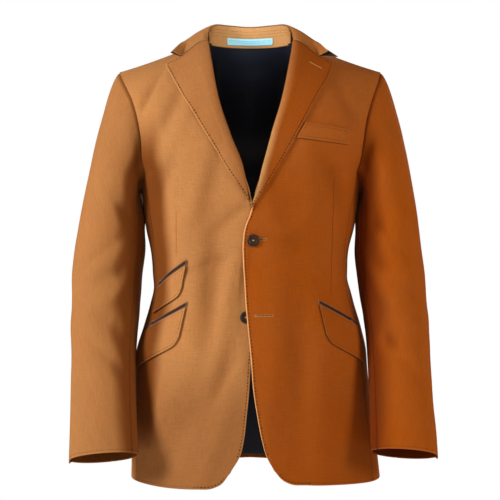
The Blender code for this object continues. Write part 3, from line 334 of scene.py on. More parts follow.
def roll_line(side):
    """The front's edge above the armpit, as a curve from the armpit's height to the neck point."""
    table = EDGE_LEFT if side > 0 else EDGE_RIGHT
    start = body(around_at(table[-1].across, ARMPIT), ARMPIT)
    rows = [(side * side_value(row, side), -row.depth, row.height) for row in ROLL]
    return by_length([start, *rows, np.array(NECK_POINT) * (side, 1, 1)])

def armhole_edge(side, table, around):
    """One arm of the armhole seam, from its side seam up to the shoulder point."""
    facing = -1 if around < 90 else 1
    start = body(side * around, ARMPIT)
    rows = [(side * side_value(row, side), facing * row.depth, row.height) for row in table]
    return by_length([start, *rows, np.array(SHOULDER_POINT) * (side, 1, 1)])

def rising_columns(around, tops, top_pull, up):
    """Columns of cloth from the armpit's height to given top points."""
    start = body(around, ARMPIT)
    below = body(around, ARMPIT - 0.01)
    direction = (start - below) / 0.01
    length = np.linalg.norm(tops - start, axis=-1)[:, None]
    up = np.asarray(up)[:, None]
    return pull(start[None], direction[None] * length[None] * RISE_PULL, tops[None],
                (top_pull * length)[None], up)

def fit_edges(points, first, last, across):
    """Moves a patch of columns so that its first and last columns follow two curves."""
    share = np.asarray(across)[None, :, None]
    off_first = (first - points[:, 0])[:, None]
    off_last = (last - points[:, -1])[:, None]
    return points + (1 - share) * off_first + share * off_last

def front(side, columns, low_rows, high_rows):
    """A front: rows from hem to shoulder seam, columns from the front edge to the side panel."""
    table = EDGE_LEFT if side > 0 else EDGE_RIGHT
    across = shares(columns, 0.15)
    up = shares(low_rows, -0.25)
    heights = mix(table[0].height, ARMPIT, up)
    seam_heights = mix(HEM_FRONT[-1].right, ARMPIT, up)
    edge = column(table, "height", "across")(heights)
    left = np.stack([around_at(edge, heights), heights], axis=-1)
    right = np.stack([np.full(low_rows, side * FRONT_SEAM), seam_heights], axis=-1)
    hem = column(HEM_FRONT, "share", "left" if side > 0 else "right")(across)
    bottom = np.stack([mix(left[0, 0], right[0, 0], across), hem], axis=-1)
    top = np.stack([mix(left[-1, 0], right[-1, 0], across), np.full(columns, ARMPIT)], axis=-1)
    lower = patch(left, right, bottom, top, across, up)
    low = body(lower[..., 0], lower[..., 1])

    rise = shares(high_rows, 0.0)
    tops = shoulder_seam(side, across)
    leans = (np.zeros(columns), mix(*FRONT_LEAN_BACK, across), mix(*FRONT_LEAN_UP, across))
    lean = np.stack(leans, axis=-1)
    high = rising_columns(top[:, 0], tops, lean, rise)
    armhole = armhole_edge(side, ARMHOLE_FRONT, FRONT_SEAM)
    high = fit_edges(high, roll_line(side)(rise), armhole(rise), across)
    grid = np.concatenate([low, high[1:]])
    if side > 0:
        lift = LAP_LIFT(grid[..., 2]) * (1 - ease(np.abs(grid[..., 0]), *LAP_REACH))
        grid[..., 1] -= lift * (1 - ease(grid[..., 2], *LAP_TOP))
    return grid

def side_panel(side, columns, rows):
    """A side panel: rows from hem to armhole, columns from front to back."""
    across = shares(columns)
    around = side * mix(FRONT_SEAM, BACK_SEAM, across)
    hem = column(HEM_BACK, "around", "height")(np.abs(around))
    armhole = ARMPIT - ARMHOLE_DIP * np.sin(np.pi * across)
    heights = mix(hem[None], armhole[None], shares(rows, -0.25)[:, None])
    return body(np.broadcast_to(around, heights.shape), heights)

def back_panel(seam_columns, neck_columns, low_rows, high_rows):
    """The back: rows from hem to neck and shoulders, columns from the left side round to the right."""
    half = seam_columns + neck_columns
    share = np.linspace(0.0, 1.0, 2 * half + 1)
    around = mix(BACK_SEAM, 360.0 - BACK_SEAM, share)
    hem = column(HEM_BACK, "around", "height")(180 - np.abs(180 - around))
    heights = mix(hem[None], ARMPIT, shares(low_rows, -0.25)[:, None])
    low = body(np.broadcast_to(around, heights.shape), heights)

    seam = shoulder_seam(1, shares(seam_columns + 1))[::-1]
    neck = by_length([NECK_POINT, (0.060, 0.0400, -0.0010), (0.030, 0.0550, -0.0025), BACK_NECK])
    half_top = np.concatenate([seam, neck(shares(neck_columns + 1))[1:]])
    tops = np.concatenate([half_top, half_top[-2::-1] * (-1, 1, 1)])
    from_seam = 1 - ease(np.abs(2 * share - 1), 0.0, neck_columns / half)
    lean_front = -mix(*BACK_LEAN_FRONT, from_seam)
    lean = np.stack([np.zeros(len(share)), lean_front, mix(*BACK_LEAN_UP, from_seam)], axis=-1)
    rise = shares(high_rows)
    high = rising_columns(around, tops, lean, rise)
    left_edge = armhole_edge(1, ARMHOLE_BACK, BACK_SEAM)(rise)
    right_edge = armhole_edge(-1, ARMHOLE_BACK, BACK_SEAM)(rise)
    high = fit_edges(high, left_edge, right_edge, share)
    return np.concatenate([low, high[1:]])

print("front grid:", front(1, 9, 9, 9).shape)

# %% [markdown]
# ## Creases that hang in the cloth
# A jacket on a body has soft folds that start where it is held: at the button, the shoulder, the armhole
# and the pocket. They could be simulated, but canvas holds its pressed shape, so each is placed as a soft
# trough or ridge, as seen from the front or the back.

# %% Creases
Crease = namedtuple("Crease", "across height turn length width depth")
# Depth above 0 is a trough. Turn is degrees from level, rising towards the wearer's left.
CREASES_FRONT = table_of(
    Crease,
    (-0.168, -0.100, 60, 0.045, 0.010, 0.0030), (-0.150, -0.088, 60, 0.045, 0.009, -0.0024),
    (-0.132, -0.125, 64, 0.055, 0.012, 0.0028), (-0.112, -0.150, 66, 0.060, 0.013, -0.0020),
    (-0.066, -0.250, 74, 0.090, 0.015, 0.0028), (-0.068, -0.410, 86, 0.105, 0.017, 0.0046),
    (-0.034, -0.425, 80, 0.090, 0.014, -0.0026), (-0.008, -0.400, 76, 0.060, 0.010, 0.0014),
    (-0.046, -0.560, 72, 0.075, 0.015, 0.0034), (-0.125, -0.590, 62, 0.060, 0.016, -0.0026),
    (-0.115, -0.660, 58, 0.090, 0.020, 0.0038), (-0.060, -0.680, 70, 0.090, 0.018, -0.0026),
    (-0.030, -0.300, 40, 0.050, 0.009, 0.0018), (-0.060, -0.375, 20, 0.050, 0.009, 0.0018),
    (0.050, -0.340, -14, 0.050, 0.010, 0.0009), (0.045, -0.270, 110, 0.070, 0.016, 0.0013),
    (0.095, -0.225, 96, 0.070, 0.013, -0.0011), (0.075, -0.560, 92, 0.150, 0.022, 0.0017),
    (0.115, -0.600, 88, 0.130, 0.020, -0.0020), (0.030, -0.620, 84, 0.110, 0.016, -0.0012),
    (0.160, -0.120, -62, 0.050, 0.012, 0.0015), (0.140, -0.250, -70, 0.060, 0.014, 0.0022),
    (-0.145, -0.250, 70, 0.060, 0.012, 0.0030),
)
# Under the arms the body fills out towards the sleeves, which give way a little.
CREASES_SIDE = table_of(
    Crease,
    (-0.175, -0.313, 90, 0.045, 0.050, -0.0030), (0.175, -0.308, 90, 0.045, 0.050, -0.0030),
    (-0.165, -0.420, 12, 0.030, 0.016, 0.0016), (0.165, -0.405, -14, 0.030, 0.014, 0.0014),
)
CREASES_BACK = table_of(
    Crease,
    (-0.120, -0.110, -60, 0.060, 0.014, 0.0024), (0.125, -0.105, 60, 0.060, 0.014, 0.0022),
    (0.020, -0.055, 8, 0.070, 0.010, 0.0016), (-0.060, -0.370, 24, 0.070, 0.014, 0.0026),
    (0.065, -0.390, -20, 0.070, 0.015, 0.0028), (-0.050, -0.600, 90, 0.130, 0.022, 0.0026),
    (0.055, -0.620, 86, 0.120, 0.024, 0.0024), (0.000, -0.450, 12, 0.060, 0.014, 0.0018),
)

CREASE_GAIN = 1.5
EDGE_HOLD = 0.10          # share of a panel's width within which its seams hold the creases flat
DEEP_TROUGH = 0.0060      # a trough this deep gets the full painted shade
TROUGH_RANGE = (-0.35, 1.0)   # how much painted highlight a ridge and how much painted shade a trough can get

def creased(points, table):
    """The grid with its creases pressed in, faded out at its edges so that the seams still meet.

    It gives the depth at each point as well, which sets painted shade in its troughs and painted highlight
    on its ridges."""
    drop = 0.0
    for crease in table:
        turn = math.radians(crease.turn)
        off_x = points[..., 0] - crease.across
        off_z = points[..., 2] - crease.height
        along = off_x * math.cos(turn) + off_z * math.sin(turn)
        beside = off_z * math.cos(turn) - off_x * math.sin(turn)
        shape = np.exp(-((along / crease.length) ** 2) - (beside / crease.width) ** 2)
        drop = drop + CREASE_GAIN * crease.depth * shape
    place = np.arange(points.shape[1])
    drop = drop * ease(np.minimum(place, place[::-1]) / len(place), 0.0, EDGE_HOLD)[None]
    return points - outward(points) * drop[..., None], np.clip(drop / DEEP_TROUGH, *TROUGH_RANGE)

print("creases:", len(CREASES_FRONT) + len(CREASES_SIDE) + len(CREASES_BACK))

# %% [markdown]
# ## Sleeves
# A tailored sleeve is a top and an under piece that hang from the armhole and bend forward at the elbow.
# Rings at a few heights give its outline. The sleeve head leaves the armhole along a pull and then
# turns down into the first ring.

# %% Sleeve tables
# Rings of a sleeve: height, outer and inner side across, depth forward, half depth, tilt and roll.
Ring = namedtuple("Ring", "height outer inner forward half_depth tilt roll")
SLEEVE_RIGHT = table_of(
    Ring,
    (-0.310, 0.2888, 0.1765, 0.002, 0.0720, 2, 0), (-0.355, 0.2965, 0.1775, 0.002, 0.0690, 3, 0),
    (-0.396, 0.3004, 0.1833, 0.006, 0.0655, 6, 0), (-0.440, 0.2996, 0.1850, 0.018, 0.0615, 12, 0),
    (-0.491, 0.2979, 0.1885, 0.040, 0.0570, 18, 0), (-0.544, 0.2957, 0.1895, 0.062, 0.0510, 20, 0),
    (-0.598, 0.2936, 0.1880, 0.082, 0.0450, 20, 1), (-0.650, 0.2926, 0.1845, 0.101, 0.0400, 20, 3),
    (-0.691, 0.2923, 0.1814, 0.116, 0.0360, 20, 5),
)
SLEEVE_LEFT = table_of(
    Ring,
    (-0.310, 0.2844, 0.1783, 0.002, 0.0720, 2, 0), (-0.355, 0.2899, 0.1776, 0.002, 0.0690, 3, 0),
    (-0.396, 0.2950, 0.1822, 0.006, 0.0655, 6, 0), (-0.440, 0.2967, 0.1870, 0.018, 0.0615, 12, 0),
    (-0.491, 0.2985, 0.1937, 0.040, 0.0570, 18, 0), (-0.544, 0.2980, 0.1956, 0.062, 0.0510, 20, 0),
    (-0.598, 0.2999, 0.1968, 0.082, 0.0450, 20, 1), (-0.650, 0.3025, 0.1968, 0.101, 0.0400, 20, 2),
    (-0.685, 0.3037, 0.1967, 0.113, 0.0360, 20, 4),
)
# How far the sleeve's first ring stands out of the armhole: at the top, front, under the arm and back.
CAP_STAND = (0.0014, 0.0020, 0.0027, 0.0020, 0.0014)
CAP_TOP = (0.055, 0.000, -0.045)     # pull of the sleeve head at the shoulder point
CAP_FRONT = (0.050, -0.020, -0.030)  # pull at the front of the armhole
CAP_UNDER = (0.030, 0.000, -0.002)   # pull under the arm
CAP_BACK = (0.050, 0.030, -0.030)    # pull at the back of the armhole
CAP_REACH = 1.15          # length of the pull at the first full ring, in distances to the armhole
SLEEVE_LENGTH = 0.64       # height from the shoulder point to the cuff, which folds are placed along
HEAD_FADE = (0.03, 0.12)   # shares of that length over which folds grow below the shoulder
CUFF_FADE = (0.90, 1.00)   # and over which they fade towards the cuff
SEAM_HOLD = 0.08           # share of the way round within which a sleeve's seam holds its folds flat
UNDER_SLEEVE = (0.41, 0.72)          # shares round the sleeve where the under sleeve begins and ends

# Folds of a sleeve: along (0 shoulder to 1 cuff), degrees round from its outer side towards the front.
SleeveFold = namedtuple("SleeveFold", "along around span width slope depth")
FOLDS_RIGHT = table_of(
    SleeveFold,
    (0.17, 60, 45, 0.030, 0.05, 0.0040), (0.27, 70, 50, 0.028, 0.06, -0.0035),
    (0.36, 110, 60, 0.030, 0.05, 0.0050), (0.55, 100, 60, 0.022, -0.04, 0.0055),
    (0.61, 80, 60, 0.020, -0.05, -0.0040), (0.66, 110, 50, 0.020, 0.04, 0.0045),
    (0.80, 60, 60, 0.030, 0.05, 0.0025), (0.50, 260, 60, 0.035, 0.03, -0.0030),
    (0.30, 280, 50, 0.030, -0.05, 0.0035),
)
FOLDS_LEFT = table_of(
    SleeveFold,
    (0.16, 62, 45, 0.030, 0.06, 0.0038), (0.26, 75, 50, 0.030, 0.05, -0.0035),
    (0.38, 105, 60, 0.030, 0.05, 0.0045), (0.54, 95, 60, 0.024, -0.05, 0.0045),
    (0.60, 85, 60, 0.022, -0.04, -0.0035), (0.68, 110, 50, 0.022, 0.05, 0.0035),
    (0.82, 70, 60, 0.030, -0.05, 0.0025), (0.52, 262, 60, 0.035, 0.03, -0.0030),
    (0.28, 284, 50, 0.030, -0.05, 0.0035),
)

CREASES_RIGHT = table_of(
    SleeveFold,
    (0.10, 95, 30, 0.016, 0.05, 0.0022), (0.20, 110, 40, 0.014, 0.07, 0.0022),
    (0.33, 75, 35, 0.014, 0.06, -0.0018), (0.50, 70, 40, 0.013, -0.05, 0.0022),
    (0.73, 95, 45, 0.016, 0.05, 0.0024), (0.45, 215, 50, 0.018, 0.04, 0.0026),
    (0.58, 230, 50, 0.016, -0.03, 0.0024), (0.12, 300, 40, 0.016, 0.04, 0.0020),
    (0.40, 182, 45, 0.050, 0.00, 0.0022),
)
CREASES_LEFT = table_of(
    SleeveFold,
    (0.11, 92, 30, 0.016, 0.04, 0.0020), (0.22, 112, 40, 0.014, 0.06, 0.0022),
    (0.47, 75, 40, 0.014, -0.05, 0.0020), (0.63, 60, 40, 0.014, -0.04, 0.0022),
    (0.75, 90, 45, 0.018, -0.05, 0.0026), (0.46, 218, 50, 0.018, 0.04, 0.0024),
    (0.60, 232, 50, 0.016, -0.03, 0.0024), (0.13, 302, 40, 0.016, 0.04, 0.0018),
    (0.40, 182, 45, 0.050, 0.00, 0.0012),
)
def with_creases(folds, creases):
    """A sleeve's folds and its sharper creases in one table."""
    return folds + tuple(fold._replace(depth=fold.depth * CREASE_GAIN) for fold in creases)

FOLDS_RIGHT = with_creases(FOLDS_RIGHT, CREASES_RIGHT)
FOLDS_LEFT = with_creases(FOLDS_LEFT, CREASES_LEFT)
print("sleeve folds:", len(FOLDS_RIGHT), len(FOLDS_LEFT))

# %% Sleeve surface
def armhole_ring(side):
    """The whole armhole seam, closed, from the shoulder point round the front and under the arm."""
    rise = shares(12)
    front_arm = armhole_edge(side, ARMHOLE_FRONT, FRONT_SEAM)(rise)[::-1]
    back_arm = armhole_edge(side, ARMHOLE_BACK, BACK_SEAM)(rise)
    under = shares(9)[1:-1]
    around = side * mix(FRONT_SEAM, BACK_SEAM, under)
    bottom = body(around, ARMPIT - ARMHOLE_DIP * np.sin(np.pi * under))
    return by_length(np.concatenate([front_arm, bottom, back_arm]))

def sleeve_ring(side, row, share):
    """Points of one ring of a sleeve, from its outer side round the front."""
    angle = 2 * np.pi * np.asarray(share)
    half_width = (row.outer - row.inner) / 2
    across = (row.outer + row.inner) / 2 + half_width * np.cos(angle)
    deep = row.half_depth * np.sin(angle)
    tilt = math.radians(row.tilt)
    roll = math.radians(row.roll)
    height = row.height + deep * math.sin(tilt) - half_width * np.cos(angle) * math.sin(roll)
    return np.stack([side * across, -row.forward - deep * math.cos(tilt), height], axis=-1)

def sleeve_fold(table, along, share):
    """How far the sleeve's folds lower the cloth."""
    total = 0.0
    around = np.asarray(share) * 360.0
    for fold in table:
        off = (around - fold.around + 180.0) % 360.0 - 180.0
        across = (along - fold.along - fold.slope * off / fold.span) * SLEEVE_LENGTH
        total = total + fold.depth * np.exp(-((across / fold.width) ** 2) - (off / fold.span) ** 2)
    for seam in UNDER_SLEEVE:
        total = total * ease(np.abs(np.asarray(share) % 1.0 - seam), 0.0, SEAM_HOLD)
    return total

def sleeve(side, ring_shares, cap_rows, tube_rows):
    """A sleeve's points: rows from armhole to cuff, columns round it by the given shares."""
    table = SLEEVE_LEFT if side > 0 else SLEEVE_RIGHT
    folds = FOLDS_LEFT if side > 0 else FOLDS_RIGHT
    share = np.asarray(ring_shares, float)
    pulls = np.array([CAP_TOP, CAP_FRONT, CAP_UNDER, CAP_BACK, CAP_TOP]) * (side, 1, 1)
    quarters = [0.0, 0.25, 0.5, 0.75, 1.0]
    leave = through(quarters, pulls)(share % 1.0)
    stand = through(quarters, CAP_STAND)(share % 1.0)[:, None]
    hole = armhole_ring(side)(share % 1.0)
    hole = hole + stand * leave / np.linalg.norm(leave, axis=-1)[:, None]
    values = {name: column(table, "height", name) for name in Ring._fields[1:]}

    def ring_at(height):
        row = Ring(height, *(float(values[name](height)) for name in Ring._fields[1:]))
        return sleeve_ring(side, row, share)

    first = ring_at(table[0].height)
    second = ring_at(table[0].height - 0.01)
    arrive = (second - first) / 0.01
    distance = np.linalg.norm(first - hole, axis=-1)[:, None]
    cap = pull(hole[None], leave[None], first[None], (arrive * distance * CAP_REACH)[None],
               shares(cap_rows, -0.2)[:, None])
    heights = np.linspace(table[0].height, table[-1].height, tube_rows)
    tube = np.stack([ring_at(height) for height in heights[1:]])
    grid = np.concatenate([cap, tube])
    along = np.clip((SHOULDER_POINT[2] - grid[..., 2]) / SLEEVE_LENGTH, 0, 1)
    centre = grid.mean(axis=1, keepdims=True)
    away = unit((grid - centre) * (1, 1, 0))
    drop = sleeve_fold(folds, along, share[None]) * ease(along, *HEAD_FADE) * (1 - ease(along, *CUFF_FADE))
    return grid - away * drop[..., None]

print("armhole, shoulder point:", armhole_ring(1)(0.0).round(4))

# %% [markdown]
# ## Laying one piece on another
# Lapels, flaps and the collar lie on panels. Each is made from the panel's own points, moved out, so it
# follows every crease. A search tree finds the panel's spot under a point.

# %% Helpers for grids
def inset(points, gap):
    """Draws a grid's edges in by half a seam's gap: bottom and top rows, first and last columns."""
    points = points.copy()
    bottom, top, first, last = np.broadcast_to(gap, 4)
    for edge, inner, room in ((0, 1, bottom), (-1, -2, top)):
        points[edge] += unit(points[inner] - points[edge]) * room / 2
    for edge, inner, room in ((0, 1, first), (-1, -2, last)):
        points[:, edge] += unit(points[:, inner] - points[:, edge]) * room / 2
    return points

def grid_faces(rows, columns):
    """Quads of an open grid."""
    return [
        (r * columns + c, r * columns + c + 1, (r + 1) * columns + c + 1, (r + 1) * columns + c)
        for r in range(rows - 1)
        for c in range(columns - 1)
    ]

def tree_of(points):
    """A search tree over a grid of points, for laying pieces on it."""
    rows, columns = points.shape[:2]
    vertices = [Vector(point) for point in points.reshape(-1, 3)]
    return BVHTree.FromPolygons(vertices, grid_faces(rows, columns))

print("helpers ready")

# %% Lapel and collar tables
# Outer edge of each lapel from the break (share 0) to its tip, then its top along the notch and gorge.
LapelRow = namedtuple("LapelRow", "share roll_x roll_z edge_x edge_z")
LAPEL_RIGHT = table_of(
    LapelRow,
    (0.00, -0.0005, -0.2740, -0.0030, -0.2745), (0.25, -0.0150, -0.2140, -0.0375, -0.2235),
    (0.50, -0.0345, -0.1640, -0.0735, -0.1640), (0.75, -0.0545, -0.0990, -0.1105, -0.1020),
    (0.90, -0.0650, -0.0370, -0.1300, -0.0690), (1.00, -0.0702, -0.0050, -0.1405, -0.0475),
)
LAPEL_LEFT = table_of(
    LapelRow,
    (0.00, 0.0050, -0.2780, 0.0005, -0.2910), (0.25, 0.0235, -0.2150, 0.0450, -0.2230),
    (0.50, 0.0372, -0.1640, 0.0775, -0.1660), (0.75, 0.0555, -0.0990, 0.1115, -0.1020),
    (0.90, 0.0672, -0.0370, 0.1300, -0.0700), (1.00, 0.0722, -0.0050, 0.1400, -0.0450),
)
NOTCH = (0.1125, -0.0345)       # inner corner of the notch, across and height
GORGE_SHARE = 0.62              # the notch's share of the way across the lapel's top
# Section of a lapel off the panel below: share across, sideways shift, lift off the panel.
RollStep = namedtuple("RollStep", "share shift lift")
LAPEL_ROLL = table_of(
    RollStep,
    (0.000, -0.0022, 0.0032), (0.060, -0.0014, 0.0052), (0.160, 0.0000, 0.0062),
    (0.350, 0.0000, 0.0052), (0.700, 0.0000, 0.0038), (1.000, 0.0000, 0.0028),
)
GORGE_AWAY = (0.75, 0.56, 0.33)  # direction from the left gorge seam into the collar, along the cloth
GORGE_LIFT = 0.0012             # how much higher the lapel lies where the collar joins it

# Collar, left half from the gorge to centre back: neck seam, roll edge and outer edge.
CollarRow = namedtuple("CollarRow", "share seam roll edge")
COLLAR = table_of(
    CollarRow,
    (0.00, (0.0690, -0.0230, -0.0040), (0.0715, -0.0215, 0.0050), (0.1305, -0.0500, -0.0235)),
    (0.22, (0.0720, -0.0050, 0.0005), (0.0705, -0.0030, 0.0150), (0.1160, -0.0120, -0.0050)),
    (0.42, (0.0735, 0.0160, 0.0010), (0.0665, 0.0140, 0.0250), (0.1010, 0.0270, -0.0010)),
    (0.62, (0.0585, 0.0365, -0.0005), (0.0560, 0.0335, 0.0325), (0.0790, 0.0610, -0.0080)),
    (0.80, (0.0350, 0.0495, -0.0015), (0.0350, 0.0455, 0.0325), (0.0450, 0.0760, -0.0130)),
    (1.00, (0.0000, 0.0540, -0.0020), (0.0000, 0.0500, 0.0305), (0.0000, 0.0800, -0.0150)),
)
STAND_STOP = 2 / 26        # share of the collar that the stand stops short of each gorge
STAND_IN = 0.0028          # how far the stand's ends keep inside the fall's roll
STAND_FADE = (0.000, 0.030)  # depth from which to which that fades
COLLAR_CREST = 0.0060      # how far the fall bulges over its straight line just outside the roll
CREST_SHAPE = 2.6          # makes the greatest value of the bulge's curve 1
COLLAR_MIDDLE = (0.0, -0.02, -0.06)  # the point that the bulge faces away from
GORGE_REACH = 0.16         # share of the collar within which its end bends to the gorge
FALL_LIFT = 0.0044         # least distance of the fall's middle from the cloth under it
NEAR = 0.020               # a point farther from a panel than this isn't moved out of it
EDGE_SLIP = 0.0015         # a collar point this far sideways off the nearest cloth lies past its edge
EDGE_STEPS = 8             # millimetres searched outwards for the cloth beside a point past its edge
NECK_SIDE_DEPTH = -0.0185  # depth of the lapel's upper end beside the neck
UNDER_LIFT = 0.0020        # least distance of the under collar's middle from the cloth under it
UNDER_TUCK = 0.20          # share of its first column that it stays back along the gorge seams
LABEL_SHARE = 0.23         # the neck label's share of the collar's length
LABEL_RISE = (0.04, 0.40)  # its lower and upper edge, in shares of the stand's height

print("lapel rows:", len(LAPEL_LEFT), "collar rows:", len(COLLAR))

# %% Pocket and button tables
# A flap's top edge by degrees round from centre front and height, then how far it falls at each end.
Flap = namedtuple("Flap", "word side inner_around inner_height outer_around outer_height fall_in fall_out")
FLAPS = table_of(
    Flap,
    ("right", -1, 45.3, -0.4475, 77.0, -0.4950, 0.0610, 0.0600),
    ("ticket", -1, 46.6, -0.3785, 70.0, -0.4180, 0.0480, 0.0440),
    ("left", 1, 48.0, -0.4440, 74.5, -0.4830, 0.0600, 0.0600),
)
FLAP_CORNER = 0.012        # radius of a flap's inner lower corner
FLAP_LEAN = 0.005          # how far a flap's inner edge leans outwards as it falls
PIPING_WIDTH = 0.0062
# The chest welt from the front: inner and outer end of its lower edge (across, height), then its heights.
WELT_INNER = (0.0745, -0.1742)
WELT_OUTER = (0.1610, -0.1832)
WELT_TALL = (0.0270, 0.0262)
WELT_LEAN = 0.0155         # how far the welt's inner end leans outwards as it rises
BUTTON_RADIUS = 0.0100
BUTTON_THICK = 0.0042
BUTTON_UPPER = (0.0051, -0.3395)
BUTTON_LOWER = (-0.0060, -0.4640)
# Half section of a button from the middle of its face round its rim to its back, in shares of its size.
ButtonPoint = namedtuple("ButtonPoint", "radius rise")
BUTTON = table_of(
    ButtonPoint,
    (0.00, 0.72), (0.48, 0.72), (0.60, 0.80), (0.74, 1.00), (0.92, 0.92), (1.00, 0.55), (0.90, 0.12),
    (0.60, 0.00), (0.00, 0.00),
)

print("flaps:", len(FLAPS), "button points:", len(BUTTON))

# %% Laying and clearing
def lay(tree, across, height, lift):
    """The point of a panel seen from the front at a place, moved out by lift."""
    across, height, lift = np.broadcast_arrays(across, height, lift)
    out = np.empty(across.shape + (3,))
    for index in np.ndindex(across.shape):
        start = Vector((across[index], -1.0, height[index]))
        hit = None
        for step in range(EDGE_STEPS):
            beside = start + Vector((np.sign(across[index]) * step * 0.001, 0, 0))
            hit, normal, _, _ = tree.ray_cast(beside, Vector((0, 1, 0)))
            if hit is not None:
                hit.x = start.x
                break
        if hit is None:
            hit, normal, _, _ = tree.find_nearest(Vector((across[index], NECK_SIDE_DEPTH, height[index])))
        if normal.y > 0:
            normal = -normal
        out[index] = hit + normal * float(lift[index])
    return out

def clear_of(tree, points, least, slip=NEAR):
    """Moves points near a panel out until they stand off it, save those past its edge by over slip."""
    out = points.copy()
    flat = out.reshape(-1, 3)
    for i, point in enumerate(flat):
        hit, normal, _, _ = tree.find_nearest(Vector(point))
        if (hit - Vector(point)).length > NEAR:
            continue
        if normal.dot(hit - BODY_MIDDLE) < 0:
            normal = -normal
        away = Vector(point) - hit
        off = away.dot(normal)
        past_edge = (away - off * normal).length > slip
        if off < least and not past_edge:
            flat[i] = Vector(point) + normal * (least - off)
    return out

def on_body(around, height, lift):
    """A point of the body moved out by lift."""
    step, rise = 0.5, 0.002    # degrees and metres over which the surface's slope is measured
    sideways = body(around + step, height) - body(around - step, height)
    upwards = body(around, height + rise) - body(around, height - rise)
    return body(around, height) + unit(np.cross(sideways, upwards)) * np.asarray(lift)[..., None]

print("a spot on the chest:", on_body(40, -0.2, 0.001).round(4))

# %% Lapel and collar surfaces
def lapel(side, tree, rows, columns):
    """A lapel: rows from the break to the gorge, columns from the roll line to the outer edge."""
    table = LAPEL_LEFT if side > 0 else LAPEL_RIGHT
    share = shares(rows)
    across = shares(columns, 0.35)
    value = {name: column(table, "share", name)(share)[:, None] for name in LapelRow._fields[1:]}
    x = mix(value["roll_x"], value["edge_x"], across[None])
    z = mix(value["roll_z"], value["edge_z"], across[None])
    last = table[-1]
    bent_x = np.interp(across, [0, GORGE_SHARE, 1], [last.roll_x, side * NOTCH[0], last.edge_x])
    bent_z = np.interp(across, [0, GORGE_SHARE, 1], [last.roll_z, NOTCH[1], last.edge_z])
    top = ease(share, 0.80, 1.0)[:, None]
    x = x + top * (bent_x - x[-1])[None]
    z = z + top * (bent_z - z[-1])[None]
    narrow = np.clip(np.abs(value["edge_x"] - value["roll_x"]) / 0.020, 0.25, 1.0)
    shift = column(LAPEL_ROLL, "share", "shift")(across)[None]
    lift = column(LAPEL_ROLL, "share", "lift")(across)[None]
    flat = LAPEL_ROLL[-1].lift
    lift = flat + (lift - flat) * narrow + GORGE_LIFT * ease(share, 0.75, 1.0)[:, None]
    return lay(tree, x + side * shift * narrow, z, lift)

def collar_line(name, share):
    """One edge of the collar, from the left gorge (share 0) round the neck to the right gorge (share 1)."""
    half = [getattr(row, name) for row in COLLAR]
    keys = [row.share for row in COLLAR]
    whole = np.concatenate([half, np.array(half[-2::-1]) * (-1, 1, 1)])
    places = keys + [2 - key for key in keys[-2::-1]]
    return through(places, whole)(2 * np.asarray(share))

def collar_fall(across, down, gorge_left, gorge_right):
    """The fall: rows from roll to outer edge, columns round the neck. Its ends follow the two gorges."""
    roll = collar_line("roll", across)[None]
    edge = collar_line("edge", across)[None]
    t = np.asarray(down)[:, None, None]
    points = mix(roll, edge, t)
    away = unit(roll - np.array(COLLAR_MIDDLE))
    points = points + away * COLLAR_CREST * CREST_SHAPE * np.sqrt(t) * (1 - t)
    share = np.asarray(across)
    for end, line in ((0, gorge_left), (-1, gorge_right)):
        reach_in = 1 - ease(np.abs(share - share[end]), 0.0, GORGE_REACH)
        points = points + reach_in[None, :, None] * (line - points[:, end])[:, None]
    return points

def gorge_line(lapel_grid, side, down):
    """The collar's end: along the lapel's top to the notch, then out to the collar's tip."""
    top = lapel_grid[-1]
    along = np.linalg.norm(np.diff(top, axis=0), axis=1)
    keys = np.concatenate(([0.0], np.cumsum(along)))
    across = shares(len(top), 0.35)
    notch_key = np.interp(GORGE_SHARE, across, keys)
    curve = through(keys, top)
    up = np.array(GORGE_AWAY) * (side, 1, 1) * GORGE_GAP
    tip = np.array(COLLAR[0].edge) * (side, 1, 1)
    notch = curve(notch_key) + up
    down = np.asarray(down)
    inner = curve(np.minimum(down / GORGE_SHARE, 1.0) * notch_key) + up
    outer = mix(notch, tip, np.clip((down - GORGE_SHARE) / (1 - GORGE_SHARE), 0, 1)[:, None])
    return np.where((down < GORGE_SHARE)[:, None], inner, outer)

def flap_grid(flap, across, down, lift):
    """A flap: rows from its top edge down, columns from inner to outer end."""
    u = np.asarray(across)[None]
    t = np.asarray(down)[:, None]
    fall = mix(flap.fall_in, flap.fall_out, u)
    wide = math.radians(flap.outer_around - flap.inner_around) * HIP_RADIUS
    from_end = np.clip(1 - u * wide / FLAP_CORNER, 0, 1)
    fall = fall - FLAP_CORNER * (1 - np.sqrt(1 - from_end ** 2))
    around = mix(flap.inner_around, flap.outer_around, u) + np.degrees(FLAP_LEAN / HIP_RADIUS) * t * (1 - u)
    height = mix(flap.inner_height, flap.outer_height, u) - fall * t
    return on_body(flap.side * around, height, np.full(height.shape, lift))

print("collar roll at centre back:", collar_line("roll", 0.5).round(4))

# %% [markdown]
# ## A rounded wall of cloth
# Cloth has two faces and a soft rim. Solidify would give a sharp rim, so each grid of points becomes a
# closed shell here: an outer and an inner face joined by a half-round strip. It also stores how far each
# point lies from a finished edge and from a seam, in millimetres, the painted shade and highlight of its
# colour, and a weave map in metres.

# %% Shell
RIM_STEPS = 3             # points round the rim between the two faces
LEAST_CUT = 0.0101        # the frame takes no cut narrower than 10 mm; the pipings show less than that
FAR = 99.0                # millimetres stored where a piece has no edge of the kind

def walked(points, axis):
    """Distance walked along one direction of a grid, from its start."""
    steps = np.linalg.norm(np.diff(points, axis=axis), axis=-1)
    return np.insert(np.cumsum(steps, axis=axis), 0, 0.0, axis=axis)

